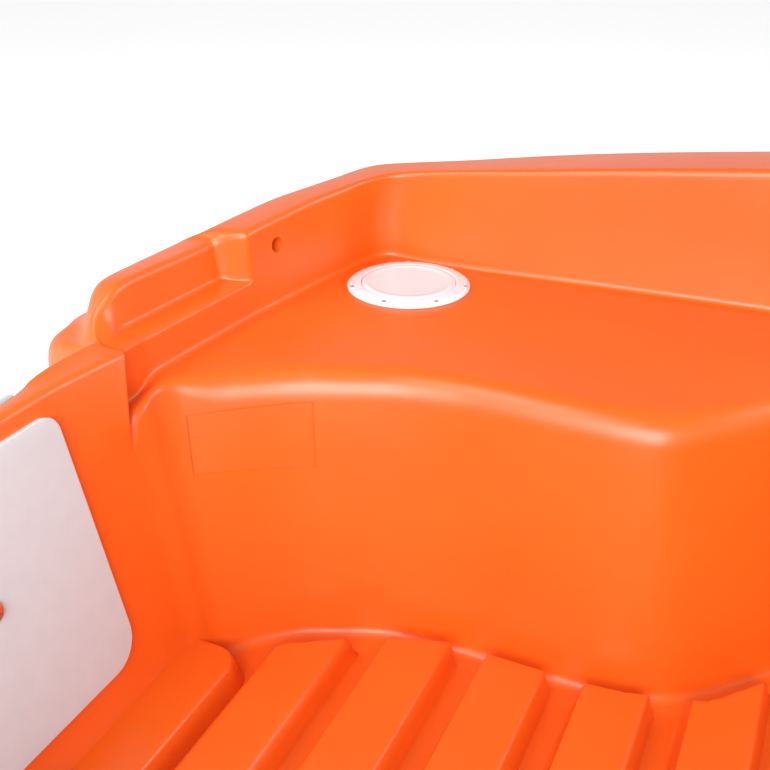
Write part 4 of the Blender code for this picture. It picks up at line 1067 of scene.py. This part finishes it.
def screw_head(radius, proud):
    """A countersunk head: a low dome with a cross recess sunk as a soft four-lobed dip."""
    r = np.linspace(0, 1, 12)[:, None]
    a = np.linspace(0, 2 * pi, 48, endpoint=False)[None, :]
    x, y = radius * r * np.cos(a), radius * r * np.sin(a)
    arm = np.minimum(np.abs(x), np.abs(y)) / radius
    reach = np.maximum(np.abs(x), np.abs(y)) / radius
    dip = np.clip(1 - arm / 0.16, 0, 1) * np.clip((0.62 - reach) / 0.12, 0, 1)
    z = proud * (1 - 0.6 * r ** 2) - 0.5 * radius * dip
    top = np.stack([x + 0 * z, y + 0 * z, z], axis=-1)
    skirt = top[-1:] * np.array([0.7, 0.7, 0]) - np.array([0, 0, 0.8 * radius])
    grid = np.concatenate([top, skirt])
    last_ring = list(range(len(grid) * 48 - 48, len(grid) * 48))[::-1]
    return grid.reshape(-1, 3), [list(f) for f in cells(*grid.shape[:2], False, True)] + [last_ring]


SCREWS, FIRST_SCREW, SCREW_CIRCLE, SCREW_R = 7, radians(-142), 0.0708, 0.0026
GRIP_CIRCLE, GRIP_SPREAD, GRIP_W, GRIP_H = 0.0535, radians(34), 0.0030, 0.0012
for side, sign in SIDES:
    grips = [crescent(GRIP_CIRCLE, sign * middle, GRIP_SPREAD, GRIP_W, COVER_FOOT + 0.0044, GRIP_H)
             for middle in (radians(8), radians(-141))]
    build(f"hatch_grips_{side}", *at_hatch(joined(grips), sign), white,
          body=f"hatch_cover_{side}", slot="white_plastic")
    heads = []
    for k in range(SCREWS):
        angle = sign * (FIRST_SCREW + 2 * pi * k / SCREWS)
        spot = Matrix.Translation((SCREW_CIRCLE * cos(angle), SCREW_CIRCLE * sin(angle), RING_FOOT + 0.0054))
        head = screw_head(SCREW_R, 0.0006)
        heads.append((placed(head[0], spot), head[1]))
    build(f"hatch_screws_{side}", *at_hatch(joined(heads), sign), steel, slot="polished_steel")
print(SCREWS, "screws in each ring")

# %% [markdown]
# ## The clamp boards
#
# An outboard motor's screws would bite into soft polyethylene, so a board of harder sheet
# is bolted to each face of the transom.  A board is a plate with wide radii at its foot
# and tight ones at its top, its front edge eased by a millimetre, and two carriage bolts
# hold the pair together.

# %% Make the boards and their bolts
PAD_H, PAD_T = 0.262, 0.006
INNER_PAD = (0.302, 0.429, 0.018)        # width, height of its top edge, radius of its top corners
OUTER_PAD = (0.288, 0.4425, 0.003)
PAD_LOW_R, PAD_EASE = 0.034, 0.0012           # radius of the low corners, and of the front edge
BOLT_R, BOLT_H, BOLT_RIM = 0.0100, 0.0042, 0.0008
BOLT_Y, BOLT_UP = 0.021, 0.009                # from the board's middle
RAKED_OUT = Vector((cos(RAKE), 0, sin(RAKE)))


def pad_place(x_top, top, out):
    """The transform of a board whose top edge is at that height, on a raked face."""
    middle = top - PAD_H / 2 * cos(RAKE)
    return on_face(Vector((raked(x_top, middle), 0, middle)) + out * GAP, out, UP)


boards = {"transom_pad_inner": pad_place(TRANSOM_IN, INNER_PAD[1], RAKED_OUT),
          "transom_pad_outer": pad_place(TRANSOM_OUT, OUTER_PAD[1], -RAKED_OUT)}
for (name, place), (width, _, top_radius) in zip(boards.items(), (INNER_PAD, OUTER_PAD)):
    points, faces = board_of(outline(width, PAD_H, top_radius, PAD_LOW_R, 16), PAD_T, PAD_EASE)
    piece = build(f"{name}_board", placed(points, place), faces, board, slot="grey_white_board", sharp=30)
    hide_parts(name)


def dome_bolt(radius, height):
    """A carriage bolt's head: a low dome on a thin rim, turned about its shank."""
    a = np.linspace(0, pi / 2, 10)
    dome = [(radius * cos(t), BOLT_RIM + height * sin(t)) for t in a[:-1]]
    return lathe([(0, 0), (radius, 0)] + dome + [(0, BOLT_RIM + height)], 40)


for name, place in boards.items():
    bolts = []
    for y in (-BOLT_Y, BOLT_Y):
        head = dome_bolt(BOLT_R, BOLT_H)
        bolts.append((placed(head[0], place @ Matrix.Translation((y, BOLT_UP, PAD_T))), head[1]))
    build(f"{name}_bolts", *joined(bolts), steel, slot="polished_steel")
print("boards", INNER_PAD[0], "x", PAD_H, "and", OUTER_PAD[0], "x", PAD_H, "m")

# %% [markdown]
# ## Finishes of the pieces that keep their solid shape
#
# The thwart, keel strips, rowlocks, sockets, eyes, handles, drain tube and bung come from
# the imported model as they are.  Each gets the material of what it is made of.

# %% Dress the other nodes
seat_orange = rotomoulded("thwart_polyethylene", "#E76218", "#EA671D", "#E35B12")
finishes = {"centre_thwart": seat_orange, "drain_tube": white, "drain_bung": black, "bow_eye": steel}
for name in ("centre", "port", "starboard"):
    finishes[f"keel_strip_{name}"] = wear
for side, sign in SIDES:
    finishes[f"rowlock_{side}"] = zinc
    finishes[f"rowlock_socket_{side}"] = black
    finishes[f"stern_eye_{side}"] = steel
    finishes[f"grab_handle_{side}"] = black
for name, material in finishes.items():
    for spot in nodes[name].material_slots:
        spot.material = material
print("dressed", len(finishes), "nodes")

# %% [markdown]
# ## Floor and light
#
# The picture is a catalogue shot on white: a pale floor without a visible edge, one large
# soft light from the camera's side, and white walls all round to fill the shadows.  The
# broad light and the one overhead give the long pale gleams on every rounded edge.  A
# smaller one ahead, over the port side, lights the transom and its boards.

# %% Lay the floor and set the lights
ground, tree, shader = start_material("studio_floor", Roughness=0.8, Base_Color=linear("#F4F4F4"),
                                      Emission_Color=(1, 1, 1, 1), Emission_Strength=0.54)
REACH, BELOW = 14, -0.0005                    # half its side, and its height under the keels
ground_points = np.array([(-REACH, -REACH, BELOW), (REACH, -REACH, BELOW), (REACH, REACH, BELOW),
                          (-REACH, REACH, BELOW)])
floor = build("studio_floor", ground_points, [(0, 1, 2, 3)], ground, body=None, turn=False)


def softbox(name, place, target, size, radiance):
    """A rectangular area light that faces a point; four times area and radiance is its power."""
    light = bpy.data.lights.new(name, "AREA")
    light.shape = "RECTANGLE"
    light.size, light.size_y = size
    light.energy = 4 * size[0] * size[1] * radiance
    lamp = bpy.data.objects.new(name, light)
    bpy.context.collection.objects.link(lamp)
    lamp.location = place
    lamp.rotation_euler = (Vector(target) - Vector(place)).to_track_quat("-Z", "Y").to_euler()


softbox("key", place=(-0.5, -2.9, 1.9), target=(-1.3, 0.4, 0.3), size=(2.4, 2.2), radiance=8.0)
softbox("forward", place=(1.6, 2.0, 2.0), target=(-1.6, 0.1, 0.35), size=(1.4, 1.2), radiance=6.0)
softbox("overhead", place=(-2.45, -0.75, 2.4), target=(-1.45, 0.4, 0.4), size=(1.7, 1.1), radiance=4.2)
world = bpy.data.worlds.new("white studio")
bpy.context.scene.world = world
world.use_nodes = True
sky = world.node_tree
way = add(sky, "ShaderNodeTexCoord").outputs["Generated"]
height = add(sky, "ShaderNodeSeparateXYZ", Vector=way).outputs["Z"]
walls = ramp(sky, height, ((0.0, 1.0), (0.3, 0.85), (0.6, 0.33), (1.0, 0.2)))
sky.links.new(walls, sky.nodes["Background"].inputs["Color"])
bpy.context.scene.view_settings.view_transform = "Standard"

# %% [markdown]
# ## The size of the dressed boat
#
# The dressed boat has to stay in the box of the imported model.
